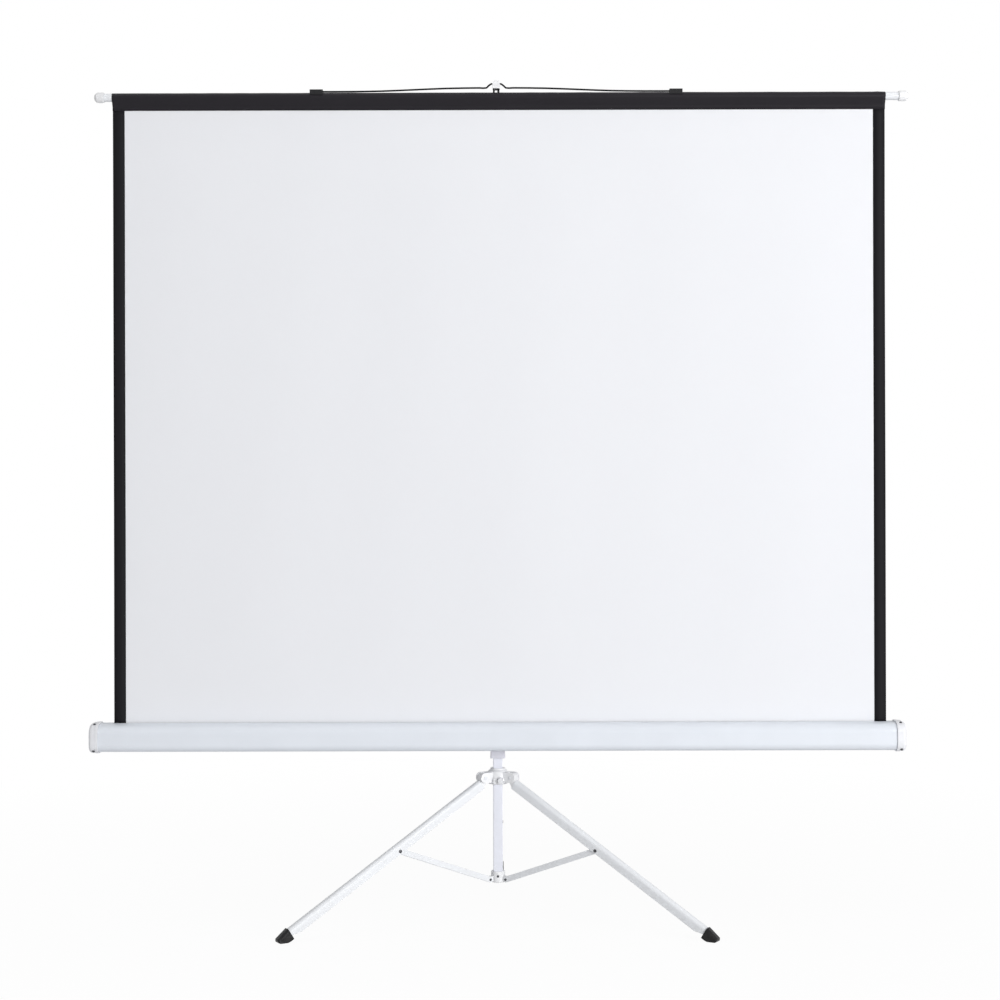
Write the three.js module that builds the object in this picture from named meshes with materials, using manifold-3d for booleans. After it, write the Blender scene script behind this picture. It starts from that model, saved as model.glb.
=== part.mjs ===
// A tripod projection screen, set up: a spring-roller case on a telescopic mast with three folding legs.
// Millimetres, +Z up. The picture faces -Y. The mast is built on the Z axis, and the whole is moved
// to its own frame at the end.

import * as THREE from "three";
import { mergeVertices } from "three/addons/utils/BufferGeometryUtils.js";
import Module from "manifold-3d";

const wasm = await Module();
wasm.setup();

// Fits shared by all pieces
const CLEARANCE = 0.3;
const SLIDE_GAP = 0.4;
const RIVET_HEAD = 1.2;

// Mast: a square tube with a smaller one telescoped inside it
const MAST_SIDE = 22;
const MAST_WALL = 1.2;
const MAST_CORNER = 2;
const MAST_TOP = 1400;
const EXTENSION_TOP = 1925;
const EXTENSION_LENGTH = 1325;
const EXTENSION_WALL = 1;
const EXTENSION_CORNER = 1.5;
const EXTENSION_BOTTOM = EXTENSION_TOP - EXTENSION_LENGTH;
const EXTENSION_SIDE = MAST_SIDE - 2 * MAST_WALL - 2 * CLEARANCE;

// Foot bracket round the lower end of the mast
const BRACKET_BOTTOM = 79;
const BRACKET_HEIGHT = 26;
const BRACKET_FLOOR = 3;
const BRACKET_WALL = 5.5;
const BRACKET_CHAMFER = 2;
const BRACKET_RADIUS = MAST_SIDE / 2 + BRACKET_WALL;
const MAST_BOTTOM = BRACKET_BOTTOM + BRACKET_FLOOR + CLEARANCE;
const MAST_RIVET_RISE = 15.5;
const MAST_RIVET_Z = BRACKET_BOTTOM + MAST_RIVET_RISE;
const MAST_RIVET_RADIUS = 2;
const MAST_RIVET_HEAD = 2.7;

// Legs: angles are from the floor, u runs down the leg from its pivot and v stands square to it
const LEG_PIVOT_R = 40;
const LEG_PIVOT_Z = 327;
const LEG_SLOPE = THREE.MathUtils.degToRad(31.1);
const LEG_WIDTH = 20;
const LEG_WALL = 1.2;
const LEG_ROUND = 8;
const LEG_TOP_V = 1.4;
const LEG_HEIGHT = 22;
const LEG_START_U = 14;
const LEG_TRIM_LENGTH = 22;
const LEG_TRIM_RISE = 7;
const LEG_RIVET_U = 268;
const LEG_RIVET_RISE = 6;
const LEG_RIVET_RADIUS = 2.5;
const LEG_RIVET_HEAD = 4;
const LEG_NAMES = { right: -30, left: 210, rear: 90 };

// Boots on the legs' lower ends: the legs are as long as the boots' height leaves them
const BOOT_RISE = 27.1;
const BOOT_SOCKET = 7;
const BOOT_WALL = 2.2;
const BOOT_SIDE = 1.6;
const BOOT_ROUND = 7;
const BOOT_HEEL = 8.8;
const SOLE_LENGTH = 16;
const BOOT_NOSE = 6.5;
const BOOT_NOSE_Z = 9;
const BOOT_WIDTH = LEG_WIDTH + 2 * BOOT_SIDE;
const LEG_COLLAR_U = (LEG_PIVOT_Z - BOOT_RISE) / Math.sin(LEG_SLOPE);
const LEG_END_U = LEG_COLLAR_U + BOOT_SOCKET;
const LEG_TRIM_U = LEG_COLLAR_U - LEG_TRIM_LENGTH;
const LEG_EDGE_V = LEG_TOP_V - LEG_HEIGHT;
const LEG_RIVET_V = LEG_EDGE_V + LEG_RIVET_RISE;

// Knuckle in the upper end of each leg, and the hub's ears round it
const KNUCKLE_RADIUS = 10.5;
const KNUCKLE_REACH = 38;
const KNUCKLE_WIDTH = LEG_WIDTH - 2 * LEG_WALL - 2 * SLIDE_GAP;
const EAR_WALL = 4;
const EAR_RADIUS = 12;
const EAR_WIDTH = KNUCKLE_WIDTH + 2 * SLIDE_GAP + 2 * EAR_WALL;
const HUB_PIN_RADIUS = 2.75;
const HUB_PIN_HEAD = 4.5;
const HUB_WALL = 14;
const HUB_DROP = 17;
const HUB_RISE = 20;
const HUB_NECK_WALL = 6.6;
const HUB_RADIUS = MAST_SIDE / 2 + HUB_WALL;
const HUB_BOTTOM = LEG_PIVOT_Z - HUB_DROP;
const HUB_TOP = LEG_PIVOT_Z + HUB_RISE;
const HUB_NECK_RADIUS = MAST_SIDE / 2 + HUB_NECK_WALL;
const HUB_KNOB_X = 7;
const HUB_KNOB_DROP = 6;
const HUB_KNOB_Z = LEG_PIVOT_Z - HUB_KNOB_DROP;
const HUB_KNOB_RADIUS = 7.5;
const HUB_KNOB_HEIGHT = 9;
const HUB_SCREW_RADIUS = 3;
const HUB_BOSS_WALL = 3.5;
const HUB_BOSS_PROUD = 2;
const HUB_SKIRT = 20;
const HUB_EDGE = 4;
const FRONT_LUG_WIDTH = 8;
const FRONT_LUG_HEIGHT = 14;
const FRONT_LUG_PROUD = 3;
const FRONT_LUG_GAP = 1.5;

// Braces from the legs down to the foot bracket
const BRACE_WIDTH = 13;
const BRACE_HEIGHT = 13.5;
const BRACE_WALL = 1.2;
const BRACE_CORNER = 2;
const BRACE_OPEN_END = 10;
const BRACE_PIN_RADIUS = 2.25;
const BRACE_PIN_HEAD = 3.1;
const LUG_GAP = 0.75;
const LUG_RISE = 8;
const LUG_CHAMFER = 1.5;
const LUG_KNEE = 6.5;
const LUG_TOP = 9;
const LUG_MOUTH = 3;
const LUG_WIDTH = BRACE_WIDTH - 2 * BRACE_WALL - 2 * SLIDE_GAP;
const BRACE_PIVOT_R = BRACKET_RADIUS + BRACE_HEIGHT / 2 + LUG_GAP;
const BRACE_PIVOT_Z = BRACKET_BOTTOM + LUG_RISE;

// Collar at the top of the mast tube, and its cam lever
const COLLAR_GRIP = 16;
const COLLAR_RISE = 20;
const COLLAR_WALL = 4;
const LEVER_WIDTH = 11;
const LEVER_LENGTH = 42;
const LEVER_THICKNESS = 5;
const LEVER_TIP = 12;
const LEVER_LIFT = 2;
const LEVER_EYE = 5;
const LEVER_RISE = 6;
const LEVER_PIN_RADIUS = 1.5;
const LEVER_EAR = 4;
const COLLAR_BOTTOM = MAST_TOP - COLLAR_GRIP;
const COLLAR_TOP = MAST_TOP + COLLAR_RISE;
const COLLAR_SIDE = MAST_SIDE + 2 * COLLAR_WALL;
const LEVER_Y = COLLAR_SIDE / 2 + LEVER_EYE + SLIDE_GAP;
const LEVER_Z = MAST_TOP + LEVER_RISE;

// Carriage that clamps the case to the mast, a little above the hub
const CARRIAGE_LIFT = 24;
const CARRIAGE_HEIGHT = 99;
const CARRIAGE_WALL = 6;
const CARRIAGE_CORNER = 3;
const CARRIAGE_RIM = 0.5;
const CARRIAGE_RIM_HEIGHT = 5.5;
const CARRIAGE_BOTTOM = HUB_TOP + CARRIAGE_LIFT;
const CARRIAGE_TOP = CARRIAGE_BOTTOM + CARRIAGE_HEIGHT;
const CARRIAGE_SIDE = MAST_SIDE + 2 * CARRIAGE_WALL;
const CLAMP_RISE = 69;
const CLAMP_Z = CARRIAGE_BOTTOM + CLAMP_RISE;
const CLAMP_SCREW_RADIUS = 4;
const CLAMP_BOSS = 6;
const CLAMP_BOSS_RADIUS = 9;
const CLAMP_KNOB_RADIUS = 17;
const CLAMP_KNOB_HEIGHT = 16;

// Cloth, the roller that it winds on and the case round them: each is longer than the last by a margin
const SHEET_WIDTH = 1800;
const FABRIC = 0.4;
const BORDER = 27.5;
const CLOTH_SHIFT = 6;
const ROLLER_MARGIN = 9;
const ROLLER_RADIUS = 16;
const ROLLER_WALL = 1.2;
const ROLLER_LENGTH = SHEET_WIDTH + 2 * ROLLER_MARGIN;
const ROLLER_HALF = ROLLER_LENGTH / 2;
const ROLL_TURNS = 3;
const ROLL_STEPS = 26;
const ROLL_PITCH = 0.5;
const ROLL_RADIUS = ROLLER_RADIUS + CLEARANCE + ROLL_TURNS * ROLL_PITCH + FABRIC;
const PLUG_LENGTH = 16;
const ARBOR_RADIUS = 5;
const IDLER_RADIUS = 4;
const SPRING_COILS = 22;
const SPRING_LENGTH = 210;
const SPRING_WIRE = 0.9;
const SPRING_END = 4;
const SPRING_STEPS = 8;
const SPRING_RADIUS = (ARBOR_RADIUS + SPRING_WIRE + CLEARANCE) / Math.cos(Math.PI / SPRING_STEPS);
const CASE_MARGIN = 14;
const CASE_STANDOFF = 9;
const CASE_RISE = 24;
const CASE_DEPTH = 62;
const CASE_HEIGHT = 64;
const CASE_WALL = 1.2;
const CASE_CORNER = 5;
const CASE_BROW_DEPTH = 29;
const CASE_BROW_HEIGHT = 21;
const CASE_CHIN_DEPTH = 22;
const CASE_CHIN_HEIGHT = 17;
const CASE_SLOT = 8;
const CASE_BACK = -CARRIAGE_SIDE / 2 - CASE_STANDOFF;
const CASE_BOTTOM = CARRIAGE_BOTTOM + CASE_RISE;
const CASE_TOP = CASE_BOTTOM + CASE_HEIGHT;
const ROLLER_Y = CASE_BACK - CASE_DEPTH / 2;
const ROLLER_Z = CASE_BOTTOM + CASE_HEIGHT / 2;
const SHEET_FRONT = ROLLER_Y + ROLL_RADIUS + CLEARANCE;

// Caps on the case's ends, each with a raised rim and a domed end. Their screws sit at an angle round
// the curve above the case's flat front and round the one below it.
const CAP_LENGTH = 21;
const CAP_GRIP = 13;
const CAP_GROW = 2.2;
const CAP_RIM = 0.8;
const CAP_RIM_WIDTH = 6.5;
const CAP_DOME = 8;
const CAP_DOME_DROP = 6;
const CAP_END_WALL = 3;
const CAP_SCREW_SEAT = 10;
const BROW_SCREW_ANGLE = 115;
const CHIN_SCREW_ANGLE = 222;
const CAP_SCREW_RADIUS = 1.8;
const CAP_SCREW_HEAD = 3.2;
const CAP_SCREW_LENGTH = 10;
const CAP_START = ROLLER_HALF + CASE_MARGIN;
const CAP_END = CAP_START + CAP_LENGTH;
const SHELL_HALF = CAP_START + CAP_GRIP;
const CAP_SCREW_X = CAP_START + CAP_SCREW_SEAT;
const PIN_END = CAP_END - CAP_END_WALL - CLEARANCE;

// Plate and bolt that hold the case on the carriage
const PLATE_THICKNESS = 3;
const PLATE_WIDTH = 84;
const PLATE_HEIGHT = 46;
const PLATE_CORNER = 6;
const PIVOT_BOSS_RADIUS = 15;
const PIVOT_BOLT_RADIUS = 4;
const PIVOT_HEAD_RADIUS = 8;
const PIVOT_HEAD_SEAT = 1;
const PLATE_BACK = CASE_BACK + PLATE_THICKNESS;
const PIVOT_Z = CASE_BOTTOM + CASE_HEIGHT / 2;

// Hook on the extension's head, the bail that hangs on it, the top rod below the bail and the rod's hem
const NECK_SIDE = 15.4;
const NECK_HEIGHT = 18.4;
const NECK_FLANGE = 3;
const NECK_PLUG = 30;
const NECK_TOP = EXTENSION_TOP + NECK_HEIGHT;
const HOOK_WIDTH = 17.5;
const HOOK_ROUND = 6;
const HOOK_EASE = 2;
const HOOK_LIP = 5;
const HOOK_LIP_RISE = 7;
const HOOK_LIP_DROP = 12;
const HOOK_SADDLE_RISE = 3;
const BAIL_RADIUS = 2.1;
const BAIL_LIFT = 3.6;
const BAIL_STEP = 9.4;
const BAIL_RAMP = 14;
const BAIL_FLAT = 17;
const BAIL_RUN = 305;
const BAIL_LIE = 74;
const BAIL_STANDOFF = 21;
const BAIL_RUN_X = HOOK_WIDTH / 2 + BAIL_RAMP + BAIL_FLAT;
const BAIL_LIE_X = BAIL_RUN_X + BAIL_RUN;
const BAIL_TOP_Z = NECK_TOP + BAIL_LIFT;
const BAIL_SHOULDER_Z = BAIL_TOP_Z - BAIL_STEP;
const HOOK_TOP = BAIL_TOP_Z + HOOK_LIP_RISE;
const HOOK_LIP_BOTTOM = BAIL_TOP_Z - HOOK_LIP_DROP;
const ROD_RADIUS = 9.5;
const ROD_WALL = 1;
const ROD_MARGIN = 49;
const ROD_CAP_WALL = 2.2;
const ROD_CAP_LENGTH = 23;
const ROD_CAP_END = 5;
const ROD_CAP_DOME = 8;
const ROD_CAP_FACE = 9;
const ROD_CAP_EDGE = 0.8;
const ROD_SHIFT = 12;
const ROD_Z = BAIL_SHOULDER_Z - BAIL_STANDOFF;
const ROD_HALF = SHEET_WIDTH / 2 + ROD_MARGIN;
const ROD_CAP_RADIUS = ROD_RADIUS + CLEARANCE + ROD_CAP_WALL;
const HEM_THICKNESS = 0.8;
const HEM_OVERHANG = 0.6;
const HEM_TAIL = 30.6;
const SHEET_START = 0.5;
const SHEET_HIDDEN = 12;
const SHEET_TUCK = 2;
const HEM_RADIUS = ROD_RADIUS + CLEARANCE + HEM_THICKNESS;
const HEM_BOTTOM = ROD_Z - HEM_TAIL;
const ROD_Y = SHEET_FRONT - CLEARANCE - HEM_THICKNESS / 2;
const BAIL_REST_Z = ROD_Z + HEM_RADIUS + CLEARANCE + BAIL_RADIUS;
const ANCHOR_LENGTH = 30;
const ANCHOR_WALL = 1.6;
const ANCHOR_DROP = 7;
const ANCHOR_STOP = 5;
const ANCHOR_FRONT = 11.5;
const ANCHOR_BACK = 8;
const ANCHOR_CORNER = 2;
const ANCHOR_BUTTON_RADIUS = 2.6;
const ANCHOR_BUTTON_PROUD = 1.1;
const ANCHOR_X = BAIL_LIE_X + BAIL_LIE;

// How far the frame's origin lies behind the mast
const ORIGIN_SETBACK = 136.528;

// Colours and finishes
const PAINT = { color: 0xe9ecf1, roughness: 0.45, metalness: 0.1 };
const PLASTIC = { color: 0xf0f1f3, roughness: 0.5, metalness: 0 };
const BLACK_PLASTIC = { color: 0x232326, roughness: 0.55, metalness: 0 };
const RUBBER = { color: 0x27272b, roughness: 0.8, metalness: 0 };
const STEEL = { color: 0x8f9296, roughness: 0.35, metalness: 0.9 };
const DARK_STEEL = { color: 0x3a3a3e, roughness: 0.4, metalness: 0.8 };
const WHITE_FABRIC = { color: 0xeef0f4, roughness: 0.85, metalness: 0 };
const BLACK_FABRIC = { color: 0x2a292d, roughness: 0.85, metalness: 0 };

// Solids from shapes

function solid(geometry) {
  const bare = geometry.clone();
  bare.deleteAttribute("normal");
  bare.deleteAttribute("uv");
  const merged = mergeVertices(bare, 1e-4);
  return new wasm.Manifold(
    new wasm.Mesh({
      numProp: 3,
      vertProperties: new Float32Array(merged.attributes.position.array),
      triVerts: new Uint32Array(merged.index.array),
    }),
  );
}

function geometryOf(body) {
  const mesh = body.getMesh();
  const geometry = new THREE.BufferGeometry();
  geometry.setAttribute("position", new THREE.BufferAttribute(new Float32Array(mesh.vertProperties), 3));
  geometry.setIndex(new THREE.BufferAttribute(new Uint32Array(mesh.triVerts), 1));
  return geometry;
}

const join = (first, ...others) => others.reduce((body, other) => body.add(other), first);
const cut = (first, ...others) => others.reduce((body, other) => body.subtract(other), first);
const placed = (body, matrix) => body.transform(matrix.elements);
const mirrored = (body) => placed(body, new THREE.Matrix4().makeScale(-1, 1, 1));

function extruded(shape, depth, matrix, options = {}) {
  const settings = { depth, bevelEnabled: false, ...options };
  return solid(new THREE.ExtrudeGeometry(shape, settings).applyMatrix4(matrix));
}

// A shape drawn in (y, z) and drawn out along X, one in (x, z) along Y, and one in (x, y) along Z.
function alongX(shape, from, to, options) {
  const turn = new THREE.Matrix4().set(0, 0, 1, from, 1, 0, 0, 0, 0, 1, 0, 0, 0, 0, 0, 1);
  return extruded(shape, to - from, turn, options);
}

function alongY(shape, from, to, options) {
  const turn = new THREE.Matrix4().set(1, 0, 0, 0, 0, 0, -1, to, 0, 1, 0, 0, 0, 0, 0, 1);
  return extruded(shape, to - from, turn, options);
}

function alongZ(shape, from, to, options) {
  return extruded(shape, to - from, new THREE.Matrix4().makeTranslation(0, 0, from), options);
}

function polygon(points) {
  return new THREE.Shape(points.map(([a, b]) => new THREE.Vector2(a, b)));
}

function rectangle(a0, a1, b0, b1) {
  return polygon([[a0, b0], [a1, b0], [a1, b1], [a0, b1]]);
}

// Points of an arc from one angle in degrees to another.
function arc(a, b, radius, from, to, step = 22.5) {
  const count = Math.ceil(Math.abs(to - from) / step);
  return Array.from({ length: count + 1 }, (_, i) => {
    const angle = THREE.MathUtils.degToRad(from + ((to - from) * i) / count);
    return [a + radius * Math.cos(angle), b + radius * Math.sin(angle)];
  });
}

// Points of a quarter of an oval, starting at an angle, and of a curve bent towards a corner point.
function quarterOval(a, b, radiusA, radiusB, from) {
  return arc(0, 0, 1, from, from + 90, 15).map(([p, q]) => [a + radiusA * p, b + radiusB * q]);
}

function bend(start, corner, end, count = 6) {
  return Array.from({ length: count + 1 }, (_, i) => {
    const t = i / count;
    const mix = (k) => (1 - t) ** 2 * start[k] + 2 * t * (1 - t) * corner[k] + t ** 2 * end[k];
    return [mix(0), mix(1)];
  });
}

const disc = (a, b, radius, step) => polygon(arc(a, b, radius, 0, 360, step).slice(1));

function rounded(a0, a1, b0, b1, r) {
  return polygon([
    ...arc(a1 - r, b0 + r, r, -90, 0), ...arc(a1 - r, b1 - r, r, 0, 90),
    ...arc(a0 + r, b1 - r, r, 90, 180), ...arc(a0 + r, b0 + r, r, 180, 270),
  ]);
}

const square = (side, corner) => rounded(-side / 2, side / 2, -side / 2, side / 2, corner);

// A body of revolution about Z from [radius, height] points that run up from the axis and back to it.
function turned(points, segments = 40) {
  const profile = points.map(([r, h]) => new THREE.Vector2(r, h));
  return solid(new THREE.LatheGeometry(profile, segments).rotateX(Math.PI / 2));
}

// Options that round the ends of an extrusion: how far along it, how far in and in how many steps.
function eased(along, inward, steps) {
  return {
    bevelEnabled: true, bevelThickness: along, bevelSize: inward, bevelOffset: -inward, bevelSegments: steps,
  };
}

// A rivet or pin along Y with a domed head at both ends.
function rivet(radius, halfLength, headRadius, headHeight) {
  const reach = halfLength + headHeight;
  const rim = halfLength + headHeight * 0.35;
  const profile = [
    [0, -reach], [headRadius * 0.6, -reach], [headRadius, -rim], [headRadius, -halfLength],
    [radius, -halfLength], [radius, halfLength],
    [headRadius, halfLength], [headRadius, rim], [headRadius * 0.6, reach], [0, reach],
  ];
  return placed(turned(profile, 12), new THREE.Matrix4().makeRotationX(-Math.PI / 2));
}

// A grip knob along Y from y = 0 outwards, with lobes round its rim.
function knob(radius, height, lobes) {
  const steps = lobes * 6;
  const shape = polygon(
    Array.from({ length: steps }, (_, i) => {
      const angle = (2 * Math.PI * i) / steps;
      const reach = radius * (0.95 + 0.05 * Math.cos(lobes * angle));
      return [reach * Math.cos(angle), reach * Math.sin(angle)];
    }),
  );
  const edge = radius * 0.1;
  return alongY(shape, edge, height - edge, eased(edge, edge, 2));
}

const moved = (body, x, y, z) => placed(body, new THREE.Matrix4().makeTranslation(x, y, z));

// The assembly

const screen = new THREE.Group();
screen.name = "tripod_projection_screen";

function add(name, body, finish) {
  const mesh = new THREE.Mesh(geometryOf(body), new THREE.MeshStandardMaterial(finish));
  mesh.name = name;
  screen.add(mesh);
}

// Frames: a leg's own plane turned to its azimuth, the leg in that plane, and the brace in that plane.
const azimuth = (degrees) => new THREE.Matrix4().makeRotationZ(THREE.MathUtils.degToRad(degrees));
const legFrame = new THREE.Matrix4()
  .makeTranslation(LEG_PIVOT_R, 0, LEG_PIVOT_Z)
  .multiply(new THREE.Matrix4().makeRotationY(LEG_SLOPE));
const rivetPoint = new THREE.Vector3(LEG_RIVET_U, 0, LEG_RIVET_V).applyMatrix4(legFrame);
const braceSpan = Math.hypot(rivetPoint.x - BRACE_PIVOT_R, rivetPoint.z - BRACE_PIVOT_Z);
const braceSlope = Math.atan2(rivetPoint.z - BRACE_PIVOT_Z, rivetPoint.x - BRACE_PIVOT_R);
const braceFrame = new THREE.Matrix4()
  .makeTranslation(BRACE_PIVOT_R, 0, BRACE_PIVOT_Z)
  .multiply(new THREE.Matrix4().makeRotationY(-braceSlope));

function forEachLeg(place) {
  for (const [name, degrees] of Object.entries(LEG_NAMES)) place(name, azimuth(degrees));
}

// Mast tube, with the hole of the rivet that holds the foot bracket
function mastTube() {
  const outside = alongZ(square(MAST_SIDE, MAST_CORNER), MAST_BOTTOM, MAST_TOP);
  const bore = square(MAST_SIDE - 2 * MAST_WALL, MAST_CORNER - MAST_WALL);
  const rivetHole = alongY(disc(0, MAST_RIVET_Z, MAST_RIVET_RADIUS + CLEARANCE), -MAST_SIDE, 0);
  return cut(outside, alongZ(bore, MAST_BOTTOM - 1, MAST_TOP + 1), rivetHole);
}

// Foot bracket: a cup with three lugs. Each lug is open below, so that a folding brace can leave it.
function footBracket() {
  const top = BRACKET_BOTTOM + BRACKET_HEIGHT;
  let body = turned([
    [0, BRACKET_BOTTOM], [BRACKET_RADIUS - BRACKET_CHAMFER, BRACKET_BOTTOM],
    [BRACKET_RADIUS, BRACKET_BOTTOM + BRACKET_CHAMFER], [BRACKET_RADIUS, top - BRACKET_CHAMFER],
    [BRACKET_RADIUS - BRACKET_CHAMFER / 2, top], [0, top],
  ], 32);
  const tip = BRACE_HEIGHT / 2 - BRACE_WALL - SLIDE_GAP;
  const low = BRACE_PIVOT_Z - tip;
  const outer = BRACE_PIVOT_R + tip;
  const lug = polygon([
    [0, low], [outer - LUG_CHAMFER, low], [outer, low + LUG_CHAMFER],
    [outer, BRACE_PIVOT_Z + 2 * LUG_CHAMFER],
    [BRACE_PIVOT_R + LUG_CHAMFER, BRACE_PIVOT_Z + LUG_KNEE], [0, BRACE_PIVOT_Z + LUG_TOP],
  ]);
  const notchRadius = BRACE_PIN_RADIUS + 2 * CLEARANCE;
  const mouth = BRACE_PIVOT_Z - BRACE_HEIGHT;
  const notch = polygon([
    ...arc(BRACE_PIVOT_R, BRACE_PIVOT_Z, notchRadius, 0, 180),
    [BRACE_PIVOT_R - notchRadius - LUG_MOUTH, mouth], [BRACE_PIVOT_R + notchRadius, mouth],
  ]);
  const arm = cut(alongY(lug, -LUG_WIDTH / 2, LUG_WIDTH / 2), alongY(notch, -BRACE_WIDTH, BRACE_WIDTH));
  forEachLeg((_, turn) => {
    body = join(body, placed(arm, turn));
  });
  const socket = square(MAST_SIDE + 2 * CLEARANCE, MAST_CORNER + CLEARANCE);
  const rivetHole = alongY(disc(0, MAST_RIVET_Z, MAST_RIVET_RADIUS + CLEARANCE), -2 * MAST_SIDE, 0);
  return cut(body, alongZ(socket, BRACKET_BOTTOM + BRACKET_FLOOR, top + 1), rivetHole);
}

// Blind rivet at the front of the foot bracket
function bracketRivet() {
  const inner = -MAST_SIDE / 2 + 2 * MAST_WALL;
  const seat = -BRACKET_RADIUS - CLEARANCE;
  const head = MAST_RIVET_HEAD;
  const profile = [
    [0, seat - RIVET_HEAD], [head * 0.6, seat - RIVET_HEAD], [head, seat - RIVET_HEAD * 0.4], [head, seat],
    [MAST_RIVET_RADIUS, seat], [MAST_RIVET_RADIUS, inner], [0, inner],
  ];
  const upright = turned(profile, 20);
  return moved(placed(upright, new THREE.Matrix4().makeRotationX(-Math.PI / 2)), 0, 0, MAST_RIVET_Z);
}

// Leg hub: a dome with a clevis for each leg, sliding on the mast
function legHub() {
  const skirt = HUB_BOTTOM + HUB_SKIRT;
  const shoulder = HUB_TOP - HUB_EDGE;
  const hem = HUB_BOTTOM + 2 * HUB_EDGE;
  let body = turned([
    [0, HUB_BOTTOM],
    ...bend([HUB_RADIUS - HUB_EDGE, HUB_BOTTOM], [HUB_RADIUS, HUB_BOTTOM], [HUB_RADIUS, hem], 3),
    ...bend([HUB_RADIUS, skirt], [HUB_RADIUS, shoulder], [HUB_NECK_RADIUS, shoulder], 5),
    [HUB_NECK_RADIUS, HUB_TOP], [0, HUB_TOP],
  ], 36);
  const ear = polygon([
    [0, LEG_PIVOT_Z - EAR_RADIUS], ...arc(LEG_PIVOT_R, LEG_PIVOT_Z, EAR_RADIUS, -90, 90, 15),
    [0, LEG_PIVOT_Z + EAR_RADIUS],
  ]);
  const floorR = LEG_PIVOT_R + LEG_EDGE_V - CLEARANCE;
  const slotR = LEG_PIVOT_R - KNUCKLE_RADIUS - 4 * SLIDE_GAP;
  const past = LEG_PIVOT_R + 2 * EAR_RADIUS;
  const slot = polygon([
    [slotR, HUB_TOP + 1], [slotR, LEG_PIVOT_Z - EAR_WALL / 2], [floorR, LEG_PIVOT_Z - KNUCKLE_RADIUS],
    [floorR, HUB_BOTTOM - 1], [past, HUB_BOTTOM - 1], [past, HUB_TOP + 1],
  ]);
  const relief = rectangle(floorR, past, HUB_BOTTOM - 1, LEG_PIVOT_Z - EAR_RADIUS - CLEARANCE);
  const pinHole = disc(LEG_PIVOT_R, LEG_PIVOT_Z, HUB_PIN_RADIUS + CLEARANCE, 30);
  const slotHalf = KNUCKLE_WIDTH / 2 + SLIDE_GAP;
  const reliefHalf = LEG_WIDTH / 2 + SLIDE_GAP;
  const bossRadius = HUB_SCREW_RADIUS + HUB_BOSS_WALL;
  const boss = alongY(disc(HUB_KNOB_X, HUB_KNOB_Z, bossRadius), -HUB_RADIUS - HUB_BOSS_PROUD, -MAST_SIDE / 2);
  const lugEnd = HUB_KNOB_X - HUB_KNOB_RADIUS - FRONT_LUG_GAP;
  const lugLow = HUB_BOTTOM + HUB_EDGE / 2;
  const lug = rounded(lugEnd - FRONT_LUG_WIDTH, lugEnd, lugLow, lugLow + FRONT_LUG_HEIGHT, HUB_EDGE / 2);
  body = join(body, boss, alongY(lug, -HUB_RADIUS - FRONT_LUG_PROUD, -MAST_SIDE / 2));
  forEachLeg((_, turn) => {
    body = join(body, placed(alongY(ear, -EAR_WIDTH / 2, EAR_WIDTH / 2), turn));
  });
  forEachLeg((_, turn) => {
    const gap = alongY(slot, -slotHalf, slotHalf);
    const under = alongY(relief, -reliefHalf, reliefHalf);
    body = cut(body, placed(join(gap, under), turn), placed(alongY(pinHole, -EAR_WIDTH, EAR_WIDTH), turn));
  });
  const bore = square(MAST_SIDE + 2 * SLIDE_GAP, MAST_CORNER + SLIDE_GAP);
  const screwHole = alongY(disc(HUB_KNOB_X, HUB_KNOB_Z, HUB_SCREW_RADIUS + CLEARANCE), -2 * HUB_RADIUS, 0);
  return cut(body, alongZ(bore, HUB_BOTTOM - 1, HUB_TOP + 1), screwHole);
}

// Thumb knob that clamps the hub, its screw passing through the hub's front boss
function hubKnob() {
  const face = HUB_RADIUS + HUB_BOSS_PROUD + SLIDE_GAP;
  const head = placed(knob(HUB_KNOB_RADIUS, HUB_KNOB_HEIGHT, 8), new THREE.Matrix4().makeRotationZ(Math.PI));
  const screw = alongY(disc(0, 0, HUB_SCREW_RADIUS), -face - 1, -MAST_SIDE / 2 - CLEARANCE);
  return moved(join(moved(head, 0, -face, 0), screw), HUB_KNOB_X, 0, HUB_KNOB_Z);
}

// Leg: an inverted U channel, drawn in (across, v), its walls trimmed before the boot
function channelOutline(grow) {
  const half = LEG_WIDTH / 2 + grow;
  const top = LEG_TOP_V + grow;
  const r = LEG_ROUND + grow;
  const low = LEG_EDGE_V - LEG_WALL;
  return polygon([
    [-half, low], [half, low], ...arc(half - r, top - r, r, 0, 90), ...arc(-half + r, top - r, r, 90, 180),
  ]);
}

function legTrim(depth) {
  const low = LEG_EDGE_V - LEG_HEIGHT;
  const edge = LEG_EDGE_V - depth;
  const past = LEG_END_U + LEG_HEIGHT;
  const raised = edge + LEG_TRIM_RISE;
  const below = polygon([
    [0, low], [past, low], [past, raised], [LEG_COLLAR_U, raised], [LEG_TRIM_U, edge], [0, edge],
  ]);
  return alongY(below, -LEG_WIDTH, LEG_WIDTH);
}

function legChannel() {
  const outside = alongX(channelOutline(0), LEG_START_U, LEG_END_U);
  const inside = alongX(channelOutline(-LEG_WALL), LEG_START_U - 1, LEG_END_U + 1);
  const hole = disc(LEG_RIVET_U, LEG_RIVET_V, LEG_RIVET_RADIUS + CLEARANCE, 30);
  return cut(outside, inside, legTrim(0), alongY(hole, -LEG_WIDTH, LEG_WIDTH));
}

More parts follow.
